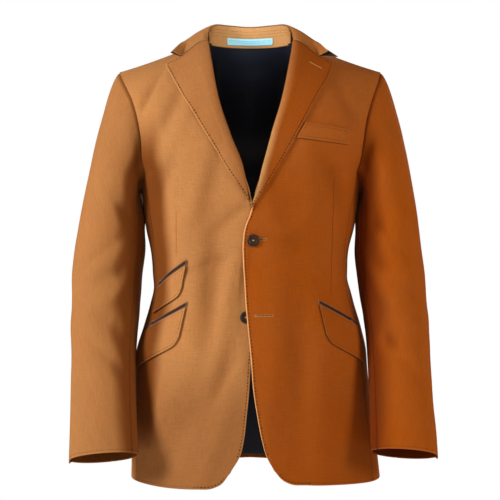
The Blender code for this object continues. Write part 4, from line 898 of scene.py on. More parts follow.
def cut_of(points):
    """Width, length and area that a grid of cloth was cut to."""
    width = walked(points, 1)[:, -1].max()
    length = walked(points, 0)[-1].max()
    one = points[1:, 1:] - points[:-1, :-1]
    other = points[1:, :-1] - points[:-1, 1:]
    area = np.linalg.norm(np.cross(one, other), axis=-1).sum() / 2
    return (float(width), float(length)), float(min(area, width * length))

def margins(points, wanted):
    """Millimetres from the nearest of the wanted edges: bottom, top, first column, last column."""
    up = walked(points, 0)
    across = walked(points, 1)
    all_four = (up, up[-1:] - up, across, across[:, -1:] - across)
    chosen = [distance for distance, use in zip(all_four, wanted) if use]
    if not chosen:
        return np.full(points.shape[:2], FAR)
    return np.minimum.reduce(chosen) * 1000

def thing_of(name, data):
    """A new object in the scene."""
    thing = bpy.data.objects.new(name, data)
    bpy.context.scene.collection.objects.link(thing)
    return thing

def mesh_thing(name, places, faces, finishes=(), edges=()):
    """A new mesh object in the scene."""
    mesh = bpy.data.meshes.new(name)
    mesh.from_pydata(places, edges, faces)
    for finish in finishes:
        mesh.materials.append(finish)
    return thing_of(name, mesh)

def shell(name, points, wall, skins, finished, seam=SEAM, middle=BODY_MIDDLE, tone=0.0, worn=0.5,
          outline=0.0, rich=0.0):
    """A closed wall of cloth. skins are its outer and inner finish; finished marks its free edges.

    Its last three arguments are how pale its finished edges are, partly wear and partly painted highlight,
    how dark the turn of its rim is, which is painted shade, and painted shade itself, which is painted
    highlight where it is below 0."""
    points = inset(points, np.broadcast_to(seam, 4) + wall)
    out = normals(points)
    tone, rich, worn = (np.broadcast_to(value, points.shape[:2]) for value in (tone, rich, worn))
    if (out * (points - np.array(middle))).sum() < 0:
        points, out = points[:, ::-1], -out[:, ::-1]
        tone, rich, worn = tone[:, ::-1], rich[:, ::-1], worn[:, ::-1]
        finished = (finished[0], finished[1], finished[3], finished[2])
    rows, columns = points.shape[:2]
    index = np.arange(rows * columns).reshape(rows, columns)
    loop = np.concatenate([index[0, :-1], index[:-1, -1], index[-1, :0:-1], index[:0:-1, 0]])
    beyond = np.zeros_like(points)
    for edge, inner in ((0, 1), (-1, -2)):
        beyond[edge] += unit(points[edge] - points[inner])
        beyond[:, edge] += unit(points[:, edge] - points[:, inner])
    flat = points.reshape(-1, 3)
    away = unit(beyond.reshape(-1, 3)[loop])
    straight = out.reshape(-1, 3)
    half = wall / 2
    angles = np.pi * np.arange(1, RIM_STEPS + 1) / (RIM_STEPS + 1)
    rims = [flat[loop] + half * (straight[loop] * math.cos(a) + away * math.sin(a)) for a in angles]
    places = np.concatenate([flat + half * straight, flat - half * straight, *rims])
    source = np.concatenate([np.arange(len(flat)), np.arange(len(flat)), *([loop] * RIM_STEPS)])

    outer = np.array(grid_faces(rows, columns))
    middle_rings = [2 * len(flat) + k * len(loop) + np.arange(len(loop)) for k in range(RIM_STEPS)]
    rings = [loop, *middle_rings, loop + len(flat)]
    strips = [np.stack([np.roll(above, -1), above, below, np.roll(below, -1)], axis=1)
              for above, below in zip(rings, rings[1:])]
    faces = np.concatenate([outer, outer[:, ::-1] + len(flat), *strips])
    piece = mesh_thing(name, places.tolist(), faces.tolist(), skins)
    mesh = piece.data

    rim_turns = [np.full(len(loop), 0.5 + 0.5 * k / RIM_STEPS) for k in range(RIM_STEPS)]
    turned = np.concatenate([np.zeros(len(flat)), np.ones(len(flat)), *rim_turns])
    edge, sewn_edge = margins(points, finished), margins(points, [not done for done in finished])
    layers = {word: values.reshape(-1)[source] for word, values in
              (("edge_mm", edge), ("seam_mm", sewn_edge), ("tone", tone), ("worn", worn), ("rich", rich))}
    # Painted shade: the inner face is darkened in full, and the turn of the rim by its outline share.
    layers["rich"] = np.maximum(layers["rich"], (turned > 0.99) * 1.0)
    layers["outline"] = turned * outline
    for word, values in layers.items():
        layer = mesh.attributes.new(word, "FLOAT", "POINT")
        layer.data.foreach_set("value", values.astype(np.float32))
    across = walked(points, 1)
    weave = np.stack([across - across[:, columns // 2:columns // 2 + 1], walked(points, 0)], axis=-1)
    corner = np.empty(len(mesh.loops), np.int32)
    mesh.loops.foreach_get("vertex_index", corner)
    layer = mesh.uv_layers.new(name="weave")
    layer.uv.foreach_set("vector", weave.reshape(-1, 2)[source[corner]].astype(np.float32).ravel())
    lined = np.zeros(len(faces), np.int32)
    deep = edge.reshape(-1)[outer].min(axis=1) > FACING * 1000
    lined[len(outer):2 * len(outer)] = deep if len(skins) > 1 else 0
    mesh.polygons.foreach_set("material_index", lined)
    mesh.shade_smooth()
    return piece

def sewn(node, grid, wall, skins, finished, held, rests_on=(), slot="canvas", **look):
    """A cloth piece over its solid: its wall and finish, attached to the root body, with the solid hidden
    and its cut printed.
    """
    piece = shell(f"{node}_cloth", grid, wall, skins, finished, **look)
    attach(piece, "root")
    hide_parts(node)
    flat, area = cut_of(grid)
    flat = tuple(max(length, LEAST_CUT) for length in flat)
    faces = len(piece.data.polygons)
    print(f"{piece.name}: cut {flat[0]:.3f} x {flat[1]:.3f} m, {area:.4f} m2, {faces} faces")

print("walls get a rim of", RIM_STEPS, "steps")

# %% [markdown]
# ## Duck canvas
# Up close duck is a plain weave: threads pass over and under by turns. From a step away it shows as a
# fine dry grain with thicker threads here and there, a slight haze of loose fibre, a paler line on turned
# edges that is partly wear and partly painted highlight, and a pressed groove where the edge is stitched,
# with painted shade in it and along the seams. Painted shade and highlight stored at the points deepen or
# pale the colour as well. All of it is worked out from the weave map and the stored values, so it follows
# the cloth and lasts through an export.

# %% Nodes
def node_of(tree, kind, inputs=None, **options):
    """A new node with its options and inputs."""
    node = tree.nodes.new(kind)
    for word, value in options.items():
        setattr(node, word, value)
    return feed(tree, node, inputs or {})

def feed(tree, node, inputs):
    """Sets a node's inputs, by name or number, to a value, a colour or another node's output."""
    for key, value in inputs.items():
        socket = node.inputs[key]
        if isinstance(value, bpy.types.NodeSocket):
            tree.links.new(value, socket)
        else:
            socket.default_value = (*value, 1.0) if socket.type == "RGBA" else value
    return node

def math_node(tree, operation, *values, clamp=False):
    """A math node on numbers or sockets. Gives its output."""
    inputs = dict(enumerate(values))
    return node_of(tree, "ShaderNodeMath", inputs, operation=operation, use_clamp=clamp).outputs[0]

def added(tree, total, *parts):
    """A total to which each part is added, times its factor."""
    for part, factor in parts:
        total = math_node(tree, "MULTIPLY_ADD", part, factor, total)
    return total

def vector_node(tree, operation, inputs):
    return node_of(tree, "ShaderNodeVectorMath", inputs, operation=operation).outputs[0]

def noise(tree, vector, scale, detail=2.0):
    inputs = {"Vector": vector, "Scale": scale, "Detail": detail}
    return node_of(tree, "ShaderNodeTexNoise", inputs).outputs[0]

def blend(tree, share, first, second, kind="MIX"):
    """A colour mix. first and second are colours or sockets."""
    options = {"data_type": "RGBA", "blend_type": kind, "clamp_factor": False}
    return node_of(tree, "ShaderNodeMix", {0: share, 6: first, 7: second}, **options).outputs[2]

def stored(tree, name):
    """A number stored at the cloth's points."""
    return node_of(tree, "ShaderNodeAttribute", attribute_name=name).outputs["Fac"]

def object_place(tree):
    """Where a point lies in its object, in metres."""
    return node_of(tree, "ShaderNodeTexCoord").outputs["Object"]

def near(tree, distance, middle, width):
    """1 where a distance is middle, falling to 0 at width from it."""
    off = math_node(tree, "ABSOLUTE", math_node(tree, "SUBTRACT", distance, middle))
    return math_node(tree, "SUBTRACT", 1.0, math_node(tree, "DIVIDE", off, width), clamp=True)

def finish_of(name):
    """A new finish: its material, node tree and shader."""
    made = bpy.data.materials.new(name)
    made.use_nodes = True
    return made, made.node_tree, made.node_tree.nodes["Principled BSDF"]

print("node helpers ready")

# %% Cloth finishes
PAINTED_SHADE_FACTOR = (0.40, 0.27, 0.16)     # what full painted shade leaves of each colour; below 0 the same mix paints highlight
RIM_WIDTH = 1.6               # millimetres from a finished edge over which it is paler, partly wear and partly painted highlight
GROOVE = (3.6, 1.3)           # millimetres from there to the groove of its stitches, and its width
SEAM_WIDTH = 1.2              # millimetres over which a seam is shaded
# Painted shade in the stitch groove and along seams.
GROOVE_SHADE = -0.22
SEAM_LINE_SHADE = -0.30
WEAR_AND_HIGHLIGHT_GAIN = (0.75, 0.90, 1.10)    # that pale edge is its colour times this
WEAR_AND_HIGHLIGHT_PALE = (0.42, 0.26, 0.13)    # and this added
SLUB = (900, 40)              # fineness of the thick threads, across and along them
SPECK = 520.0                 # fineness of the loose fibre
CLOUD = 11.0                  # fineness of the broad unevenness of the dye
BUMP_DEPTH = 0.0012
SHEEN_ROUGH = 0.45
SHEEN_TINT = (1.0, 0.50, 0.20)

def woven(name, pale, deep, thread=0.0008, grain=0.125, cloud=0.14, sheen=0.10, rough=0.88,
          bump=0.30, shine=0.08, mottle=0.30):
    """A plain-woven cloth. pale is its colour as lit and deep a darker copy for painted shade, chosen by
    the stored tone.
    """
    made, tree, shader = finish_of(name)
    weave = node_of(tree, "ShaderNodeUVMap", uv_map="weave").outputs[0]
    place = object_place(tree)

    count = vector_node(tree, "MULTIPLY", {0: weave, 1: (1 / thread, 1 / thread, 0)})
    split = node_of(tree, "ShaderNodeSeparateXYZ", {0: count}).outputs
    warp, weft = (
        math_node(tree, "ABSOLUTE", math_node(tree, "SINE", math_node(tree, "MULTIPLY", split[k], math.pi)))
        for k in (0, 1)
    )
    over = node_of(tree, "ShaderNodeTexChecker", {"Scale": 1.0, "Vector": count}).outputs["Fac"]
    under = math_node(tree, "SUBTRACT", 1.0, over)
    weave_height = math_node(tree, "ADD", math_node(tree, "MULTIPLY", warp, over),
                             math_node(tree, "MULTIPLY", weft, under))
    slubs = math_node(tree, "ADD", *(
        noise(tree, vector_node(tree, "MULTIPLY", {0: weave, 1: (*scale, 0)}), 1.0)
        for scale in (SLUB, SLUB[::-1])
    ))
    speck = noise(tree, place, SPECK, 3.0)
    clouds = noise(tree, place, CLOUD, 4.0)
    slub_off = math_node(tree, "SUBTRACT", slubs, 1.0)
    speck_off = math_node(tree, "SUBTRACT", speck, 0.5)
    cloud_off = math_node(tree, "SUBTRACT", clouds, 0.5)

    edge = stored(tree, "edge_mm")
    rim = near(tree, edge, 0.0, RIM_WIDTH)
    groove = near(tree, edge, *GROOVE)
    seam_line = near(tree, stored(tree, "seam_mm"), 0.0, SEAM_WIDTH)

    # The stored tone mixes the pale colour with its deep copy, which is painted shade, plus random mottle
    # of the dye. The stored painted shade then darkens the colour, and paints highlight where it is below
    # 0.
    tone_and_mottle = added(tree, stored(tree, "tone"), (cloud_off, mottle), (speck_off, mottle * 2))
    painted_shading = blend(tree, stored(tree, "rich"), (1.0, 1.0, 1.0), PAINTED_SHADE_FACTOR)
    colour = blend(tree, 1.0, blend(tree, tone_and_mottle, pale, deep), painted_shading, "MULTIPLY")
    # shade: the weave's real grain and unevenness, with painted shade on the turn of rims, in stitch
    # grooves and along seams.
    shade = added(tree, 1.0, (slub_off, grain * 3), (speck_off, grain * 5), (cloud_off, cloud),
                  (stored(tree, "outline"), -1.0), (groove, GROOVE_SHADE), (seam_line, SEAM_LINE_SHADE))
    shaded = vector_node(tree, "SCALE", {0: colour, "Scale": shade})
    # The pale edge line: partly wear, partly painted highlight.
    worn = vector_node(tree, "MULTIPLY_ADD", {0: colour, 1: WEAR_AND_HIGHLIGHT_GAIN, 2: WEAR_AND_HIGHLIGHT_PALE})
    paler = math_node(tree, "MULTIPLY", rim, stored(tree, "worn"))

    relief = added(tree, math_node(tree, "MULTIPLY", weave_height, 0.6), (slubs, 0.5), (speck, 0.4),
                   (groove, -3.0))
    bumped = node_of(tree, "ShaderNodeBump", {"Strength": bump, "Distance": BUMP_DEPTH, "Height": relief})
    feed(tree, shader, {
        "Base Color": blend(tree, paler, shaded, worn),
        "Normal": bumped.outputs[0],
        "Roughness": math_node(tree, "MULTIPLY_ADD", speck, 0.10, rough - 0.05),
        "Sheen Weight": sheen,
        "Sheen Roughness": SHEEN_ROUGH,
        "Sheen Tint": SHEEN_TINT,
        "Specular IOR Level": shine,
    })
    return made

# The deep canvas colour is a copy of the pale one darkened as painted shade, for the half turned from the
# window lamp.
DUCK = woven("duck_canvas_weave", (0.530, 0.248, 0.088), (0.400, 0.099, 0.0095))
DARK_CLOTH = woven("dark_trim_cloth", (0.052, 0.024, 0.024), (0.030, 0.012, 0.009), sheen=0.15)
LINING_SATIN = woven("lining_satin", (0.009, 0.012, 0.024), (0.009, 0.011, 0.018), thread=0.0004,
                     grain=0.05, sheen=0.05, rough=0.50, bump=0.08, shine=0.22)
LABEL_CLOTH = woven("label_weave", (0.40, 0.84, 1.0), (0.40, 0.84, 1.0), thread=0.0005, grain=0.04,
                    cloud=0.03, sheen=0.1, rough=0.55, bump=0.1)
LINED = (DUCK, LINING_SATIN)
print("finishes:", [made.name for made in bpy.data.materials])

# %% [markdown]
# ## The body panels
# Fronts, side panels and back are cut separately and sewn edge to edge. Hem and front edges are turned
# and pressed, so they get a pale line, partly wear and partly painted highlight; shoulder, side and
# armhole edges are seams.

# %% Fronts and side panels
FRONT_GRID = (70, 96, 56)     # columns, rows below the armpit, rows above it
SIDE_GRID = (20, 96)          # columns, rows
BACK_GRID = (30, 18, 80, 52)  # columns along a shoulder and half the neck, rows below and above the armpit
FRONT_TREES = {}
FRONT_GRIDS = {}
# Painted shadow of a sleeve on the body: degrees round from centre front over which it comes, and ends.
ARM_SHADOW_LEFT = (58, 84)
ARM_SHADOW_RIGHT = (54, 64)
ARM_SHADOW_BACK = (112, 136)
ARM_SHADOW_TOP = (-0.21, -0.12)  # heights over which the painted shadow ends at the chest
ARM_SHADOW_LOW = (-0.73, -0.63)  # and at the hem
CHEST_TONE = 0.8              # share of its tone that a front has at the shoulder, so that its painted shade is lighter there
CHEST_FADE = (0.05, 0.25)     # depths below the neck over which it deepens to the whole
HEM_FADE = (0.50, 0.64)       # depths below the neck over which painted shade grows towards the hem
EDGE_FADE = (0.08, 0.40)      # shares across a front over which the pale line of its hem, partly wear and partly painted highlight, gives way
TROUGH_SHADE = 0.5              # how much painted shade a deep trough gets

# How each half is painted. tone 1 is the deep copy of the canvas, painted shade for the half turned from
# the window lamp, and 0 the pale one; edge is how pale its front edge is, partly wear and partly painted
# highlight. The others are painted shade: beside the arm, low on the front and all over the sleeve, then
# over which share of facing the body, and for how many rows of the sleeve head.
Half = namedtuple("Half", "word tone edge by_arm low sleeve facing head")
HALVES = {
    1: Half("left", 1.0, 1.6, 0.30, 0.16, 0.0, (0.10, 0.85), 3),
    -1: Half("right", 0.0, 0.5, 1.08, 0.48, 0.28, (0.08, 0.62), 4),
}

def arm_shadow(grid):
    """Painted shadow of the arm beside the body: how strongly each point is darkened by it."""
    turned = np.degrees(np.arctan2(np.abs(grid[..., 0]), -grid[..., 1]))
    beside = (1 - ease(grid[..., 2], *ARM_SHADOW_TOP)) * ease(grid[..., 2], *ARM_SHADOW_LOW)
    front_side = np.where(grid[..., 0] < 0, ease(turned, *ARM_SHADOW_RIGHT), ease(turned, *ARM_SHADOW_LEFT))
    return front_side * (1 - ease(turned, *ARM_SHADOW_BACK)) * beside

for side, half in HALVES.items():
    grid, trough = creased(front(side, *FRONT_GRID), CREASES_FRONT)
    FRONT_GRIDS[side] = grid
    FRONT_TREES[side] = tree_of(grid)
    # Painted light of a front: the deep tone as painted shade, lighter at the shoulder; a pale front edge,
    # partly painted highlight; and painted shade beside the arm, in troughs and towards the hem.
    tone = half.tone * mix(CHEST_TONE, 1.0, ease(-grid[..., 2], *CHEST_FADE))
    worn = half.edge * (1 - 0.9 * ease(np.linspace(0, 1, grid.shape[1]), *EDGE_FADE))
    painted_shading = np.maximum(half.by_arm * arm_shadow(grid), TROUGH_SHADE * trough)
    painted_shading = np.maximum(painted_shading, half.low * ease(-grid[..., 2], *HEM_FADE))
    sewn(f"front_{half.word}", grid, CLOTH, LINED, (1, 0, 1, 0), "hung", seam=NEAT, tone=tone, worn=worn,
         rich=painted_shading)
    grid, _ = creased(side_panel(side, *SIDE_GRID), CREASES_SIDE)
    sewn(f"side_{half.word}", grid, CLOTH, LINED, (1, 0, 0, 0), "hung", seam=NEAT, tone=half.tone,
         worn=0.15, rich=half.by_arm * arm_shadow(grid))

# %% Back and its lining
BEHIND = (0.0, 1.0, -0.1)     # pieces that show their face to the wearer turn it away from here
BACK_TROUGH_SHADE = 0.45
LINING_ROWS = 4               # rows at the hem that the lining draws up, so that it ends above the canvas
LINING_UP = 0.2               # share that they are drawn up by
LINING_TOP = (0, -0.0004, 0.0016)   # from the last row to the one added at the neck

back_grid, back_trough = creased(back_panel(*BACK_GRID), CREASES_BACK)
# The back's wearer's left takes the deep tone, which is painted shade; the arms' painted shadow and painted
# shade in its troughs darken it too.
sewn("back", back_grid, CLOTH, (DUCK,), (1, 0, 0, 0), "hung", seam=NEAT, worn=0.12,
     tone=ease(back_grid[..., 0], -0.10, 0.10),
     rich=np.maximum(arm_shadow(back_grid), BACK_TROUGH_SHADE * back_trough))
inside = back_grid - normals(back_grid) * ON_LINING
inside[:LINING_ROWS] = mix(inside[:LINING_ROWS], inside[LINING_ROWS:LINING_ROWS + 1], LINING_UP)
inside = np.concatenate([inside, inside[-1:] + LINING_TOP])
sewn("lining_back", inside, LINING, (LINING_SATIN,), (0, 0, 0, 0), "hung", ["back_cloth"], "lining",
     seam=(SEAM, SEAM, LINING_IN, LINING_IN), middle=BEHIND)

# %% Sleeves
SLEEVE_ROWS = (34, 90)        # rows of the sleeve head and of the tube below it
PART_COLUMNS = {"top": 66, "under": 32}
TAB_DROP = 0.0045             # the vent at the cuff hangs a little at its outer corner
TAB_WIDTH = 0.006
TAB_ROWS = 8                  # rows over which it begins to hang
TURNING = (0.0035, 0.009)     # seam turning tucked in behind the armhole: at the shoulder and below it
TURNING_FROM = (0.08, 0.15)   # shares round from the shoulder point over which it widens
TURNING_DROP = 0.022          # share of the way to the armhole's middle that the turning leans inwards
ARMHOLE_SHADE = 0.9                # painted shade of the sleeve head beside the armhole

for side, half in HALVES.items():
    ring = np.linspace(0, 1, 40)
    middle = sleeve(side, ring, 9, 20).mean(axis=(0, 1))
    spine = sleeve(side, ring, *SLEEVE_ROWS).mean(axis=1)
    spine = np.concatenate([spine[:1], spine])[:, None]
    hole_middle = armhole_ring(side)(ring).mean(axis=0)
    start, end = UNDER_SLEEVE
    for part, ends in (("top", (end - 1.0, start)), ("under", (start, end))):
        columns = np.linspace(*ends, PART_COLUMNS[part])
        grid = sleeve(side, columns, *SLEEVE_ROWS)
        if part == "top":
            outer = np.argmax(side * grid[-1, :, 0])
            spread = walked(grid[-1:], 1)[0]
            point = np.exp(-(((spread - spread[outer]) / TAB_WIDTH) ** 2))
            fade = ease(np.arange(len(grid)), len(grid) - 1 - TAB_ROWS, len(grid) - 1)
            grid[..., 2] -= TAB_DROP * point[None] * fade[:, None]
        turning = mix(*TURNING, ease(np.abs((columns + 0.5) % 1.0 - 0.5), *TURNING_FROM))
        tucked = grid[:1] - unit(grid[1:2] - grid[:1]) * turning[None, :, None]
        grid = np.concatenate([mix(tucked, hole_middle, TURNING_DROP), grid])
        # Painted shade: on the side facing the body, over all of the sleeve, and along the armhole.
        painted_shading = np.maximum(ease(-side * outward(grid, spine)[..., 0], *half.facing), half.sleeve)
        painted_shading = np.maximum(painted_shading, ARMHOLE_SHADE * (1 - ease(np.arange(len(grid)), 1, half.head))[:, None])
        sewn(f"sleeve_{part}_{half.word}", grid, CLOTH, LINED, (0, 1, 0, 0), "hung", seam=NEAT,
             middle=middle, tone=half.tone, worn=0.12, rich=painted_shading)

# %% [markdown]
# ## Lapels and collar
# The lapel is the front's own facing, turned back along the roll line. The collar has a fall that lies
# over the shoulders, a stand inside the neck and an under collar that shows as a thin line at the notch.

# %% Lapels
LAPEL_GRID = (90, 34)         # rows, columns
LAPELS = {}
LOW_FADE = (0.35, 0.95)       # shares up a lapel over which its roll's painted highlight, and on the right its painted shade, give way
LOW_LOSS = 0.65               # and how much of it fades there
ROLL_LEFT = (0.0010, 0.0150)  # from the roll line, over which the left roll's painted highlight ends
ROLL_RIGHT = (0.0, 0.030)     # and the right one's painted shade
LAPEL_SHADE = 0.12

for side, half in HALVES.items():
    tree = FRONT_TREES[side]
    LAPELS[side] = clear_of(tree, lapel(side, tree, *LAPEL_GRID), ON_FACED)
    low = 1 - LOW_LOSS * ease(np.linspace(0, 1, LAPEL_GRID[0]), *LOW_FADE)[:, None]
    rolled = (1 - ease(walked(LAPELS[side], 1), *(ROLL_LEFT if side > 0 else ROLL_RIGHT))) * low
    # The left roll gets painted highlight through a paler tone and negative painted shade; the right roll
    # gets painted shade. The turn of each lapel's rim is painted shade.
    tone = 1.0 - 1.4 * rolled if side > 0 else 0.15
    painted_shading = LAPEL_SHADE - 1.5 * rolled if side > 0 else LAPEL_SHADE + 0.40 * rolled
    sewn(f"lapel_{half.word}", LAPELS[side], FACED, (DUCK,), (0, 1, 0, 1), "folded",
         [f"front_{half.word}_cloth"], tone=tone, worn=0.12 if side > 0 else 0.35, outline=0.6, rich=painted_shading)

# %% Collar
COLLAR_COLUMNS = 140
BAND_LEFT = (0.0150, -0.0030, -0.0085)     # how far the under collar reaches past the collar's left tip
BAND_RIGHT = (-0.0010, -0.0012, -0.0014)   # and past the right one
BAND_SHARE = 0.06             # share of the collar's length at each end over which it does
FALL_STEPS = 30
UNDER_FROM = 0.16             # share of the fall's width, from the roll, that the under collar stops short
TUCK_COLUMNS = 6              # columns that the under collar's ends are drawn back towards

across = shares(COLLAR_COLUMNS)
down = shares(FALL_STEPS, 0.45)
ends = [gorge_line(LAPELS[side], side, down) for side in (1, -1)]
fall = collar_fall(across, down, *ends)
panels = (FRONT_TREES[1], FRONT_TREES[-1], tree_of(back_grid))
for tree in panels:
    fall = clear_of(tree, fall, FALL_LIFT, EDGE_SLIP)
# The fall's wearer's left takes the deep tone, which is painted shade; it is painted slightly paler all
# over as painted highlight, and the turn of its rim gets painted shade.
sewn("collar_fall", fall, FACED, (DUCK,), (0, 1, 1, 1), "folded",
     ["back_cloth", "front_left_cloth", "front_right_cloth"], seam=(-FACED, SEAM, SEAM, SEAM),
     tone=0.50 * ease(fall[..., 0], -0.05, 0.13), worn=0.25, outline=0.5, rich=-0.12)

tucked = np.searchsorted(down, UNDER_FROM)
under = (fall - outward(fall) * (FALL_LIFT - UNDER_LIFT))[tucked:]
low = down[tucked:]
shown = ease(low, GORGE_SHARE - 0.05, 1.0)[:, None]
hidden = (1 - ease(low, GORGE_SHARE - 0.15, GORGE_SHARE + 0.15))[:, None]
for end, inner in ((0, TUCK_COLUMNS), (-1, -1 - TUCK_COLUMNS)):
    under[:, end] = mix(under[:, end], under[:, inner], hidden * UNDER_TUCK)
# The band of under collar that shows past the left notch; at the right notch it's a thin line.
near_left = ease(across, BAND_SHARE, 0.0)[None, :, None]
near_right = ease(across, 1 - BAND_SHARE, 1.0)[None, :, None]
under = under + shown[..., None] * (near_left * np.array(BAND_LEFT) + near_right * np.array(BAND_RIGHT))
for tree in panels:
    under = clear_of(tree, under, UNDER_LIFT, EDGE_SLIP)
sewn("under_collar", under, LINING, (DARK_CLOTH,), (0, 1, 1, 1), "folded", ["back_cloth"], "dark_cloth")

# %% Stand and label
STAND_ROWS = 14
STAND_FOOT = (0, -0.0008, -0.0035)   # from the stand's first row to the one added below it

def stand_rows(across, rises):
    """Rows of cloth between the collar's seam and its roll, at shares of the way up."""
    seam, roll = collar_line("seam", across), collar_line("roll", across)
    return np.stack([mix(seam, roll, rise) for rise in rises])

stand = stand_rows(mix(STAND_STOP, 1 - STAND_STOP, shares(COLLAR_COLUMNS)), shares(STAND_ROWS))
stand[..., 0] -= np.sign(stand[..., 0]) * STAND_IN * (1 - ease(stand[..., 1], *STAND_FADE))
stand = np.concatenate([stand[:1] + STAND_FOOT, stand])
# The stand is painted much paler than the canvas: painted highlight for the lit inside of the neck.
sewn("collar_stand", stand, CLOTH, (DUCK,), (0, 0, 0, 0), "stretched", ["back_cloth"],
     seam=(SEAM, -CLOTH, SEAM, SEAM), middle=BEHIND, tone=-0.4, rich=-1.0)
label = stand_rows(0.5 + np.linspace(-0.5, 0.5, 40) * LABEL_SHARE, np.linspace(*LABEL_RISE, 10))
label[..., 1] -= ON_LINING
sewn("neck_label", label, LINING, (LABEL_CLOTH,), (1, 1, 1, 1), "laid", ["collar_stand_cloth"], "label",
     middle=BEHIND, worn=0.1)

# %% [markdown]
# ## Pockets
# Each hip pocket has a slanted flap under a narrow dark piping, and a smaller ticket pocket sits above
# the right one. The chest pocket is a welt. All are laid out on the body and moved out of its panels.

# %% Flaps, pipings and welt
FLAP_LIFT = ON_FACED + 0.0007     # a flap stands off a little, so that its edge throws a fine shadow
PIPING_LIFT = CLOTH / 2 + LIE + LINING / 2
PIPING_MORE = 0.0022      # the piping is folded over a cord, so it is wider and rounder than its solid
PIPING_ROUND = 0.0007
PIPING_STEPS = 7
SMOOTHINGS = 14
FLAP_GRIDS = {}

def smoothed(grid):
    """A grid evened out along its rows, so that a piece crosses a seam without a step."""
    grid = grid.copy()
    for _ in range(SMOOTHINGS):
        grid[:, 1:-1] = (grid[:, :-2] + 2 * grid[:, 1:-1] + grid[:, 2:]) / 4
    return grid

for flap in FLAPS:
    half = HALVES[flap.side]
    across = np.concatenate([np.linspace(0.0, 0.2, 14)[:-1], np.linspace(0.2, 1.0, 34)])
    points = flap_grid(flap, across, shares(26), FLAP_LIFT)
    u = np.linspace(-0.01, 1.0, 40)[None]
    rise = np.linspace(PIPING_WIDTH + PIPING_MORE, LIE, PIPING_STEPS)[:, None]
    bulge = PIPING_ROUND * np.sin(np.pi * np.linspace(0, 1, PIPING_STEPS))[:, None]
    around = mix(flap.inner_around, flap.outer_around, u) + 0 * rise
    height = mix(flap.inner_height, flap.outer_height, u) + rise
    strip = on_body(flap.side * around, height, PIPING_LIFT + bulge + 0 * height)
    for panel in (FRONT_TREES[flap.side], tree_of(side_panel(flap.side, *SIDE_GRID))):
        points = clear_of(panel, points, FLAP_LIFT)
        strip = clear_of(panel, strip, PIPING_LIFT)
    points = smoothed(points)
    FLAP_GRIDS[flap.word] = points
    below = [f"front_{half.word}_cloth"]
    # A right flap takes the arm's painted shadow, and is lightened a little elsewhere as painted highlight;
    # the left one takes the deep tone and a little more, both painted shade. The turn of each rim is
    # painted shade.
    sewn(f"flap_{flap.word}", points, FACED, (DUCK,), (1, 1, 1, 0), "hung", below, tone=half.tone,
         worn=0.12, outline=0.95, rich=0.10 if flap.side > 0 else 1.15 * arm_shadow(points) - 0.10)
    sewn(f"piping_{flap.word}", strip, LINING, (DARK_CLOTH,), (1, 1, 1, 1), "laid", below, "dark_cloth")

u = np.linspace(0, 1, 46)[None]
t = np.linspace(0, 1, 16)[:, None]
x = mix(WELT_INNER[0] + WELT_LEAN * t, WELT_OUTER[0], u)
z = mix(WELT_INNER[1], WELT_OUTER[1], u) + mix(*WELT_TALL, u) * t
welt = clear_of(FRONT_TREES[1], lay(FRONT_TREES[1], x, z, ON_FACED), ON_FACED)
# The welt takes the deep tone, which is painted shade, and painted shade on the turn of its rim.
sewn("welt_chest", welt, FACED, (DUCK,), (1, 1, 1, 1), "laid", ["front_left_cloth"], tone=0.85, worn=0.04,
     outline=0.7)

# %% [markdown]
# ## Buttons
# The buttons are turned from dark horn: a raised rim, a dished face and four holes, sewn on with pale
# thread. The profile is spun, the holes are cut with a boolean and the thread is two short bars.

# %% Horn, thread and turned forms
def horn():
    """Dark horn with streaks."""
    made, tree, shader = finish_of("dark_horn")
    long = vector_node(tree, "MULTIPLY", {0: object_place(tree), 1: (60, 60, 260)})
    streaks = noise(tree, long, 3.0, 4.0)
    colour = blend(tree, streaks, (0.010, 0.006, 0.005), (0.055, 0.028, 0.018))
    feed(tree, shader, {"Base Color": colour, "Roughness": 0.36, "Specular IOR Level": 0.30})
    return made

def plain(name, colour, rough):
    """A dull finish with a fine unevenness, as of twisted thread."""
    made, tree, shader = finish_of(name)
    dark = tuple(part * 0.72 for part in colour)
    mixed = blend(tree, noise(tree, object_place(tree), 900.0), dark, colour)
    feed(tree, shader, {"Base Color": mixed, "Roughness": rough, "Specular IOR Level": 0.10})
    return made

HORN = horn()
PALE_THREAD = plain("pale_thread", (0.88, 0.54, 0.24), 0.7)
DARK_THREAD = plain("dark_thread", (0.100, 0.026, 0.004), 0.8)
# The buttonhole slit and the dart lines are dark strips of painted shade; the deeper dart line is a copy
# for the half with the deep tone.
SLIT = plain("buttonhole_slit", (0.010, 0.006, 0.005), 0.9)
SEAM_SHADE = plain("dart_line_deep", (0.270, 0.050, 0.004), 0.9)
SEAM_SHADE_PALE = plain("dart_line", (0.420, 0.160, 0.042), 0.9)
FAINT_THREAD = plain("cloth_toned_thread", (0.400, 0.140, 0.035), 0.8)

def spun(profile, steps):
    """A closed turned form about Z, from its front's middle to its back's."""
    angles = 2 * np.pi * np.arange(steps) / steps
    places = [(0.0, 0.0, profile[0][1])]
    for radius, rise in profile[1:-1]:
        places += [(radius * math.cos(a), radius * math.sin(a), rise) for a in angles]
    places.append((0.0, 0.0, profile[-1][1]))
    last = len(places) - 1
    around = [(k, (k + 1) % steps) for k in range(steps)]
    bases = [1 + ring * steps for ring in range(len(profile) - 2)]
    faces = [(0, 1 + k, 1 + n) for k, n in around]
    for base in bases[:-1]:
        faces += [(base + k, base + steps + k, base + steps + n, base + n) for k, n in around]
    faces += [(bases[-1] + k, last, bases[-1] + n) for k, n in around]
    return np.array(places), faces

def placed(name, places, faces, finish, spot, turn):
    """A mesh turned and moved to its place in its points."""
    thing = mesh_thing(name, [spot + turn @ Vector(point) for point in places], faces, [finish])
    thing.data.shade_smooth()
    return thing

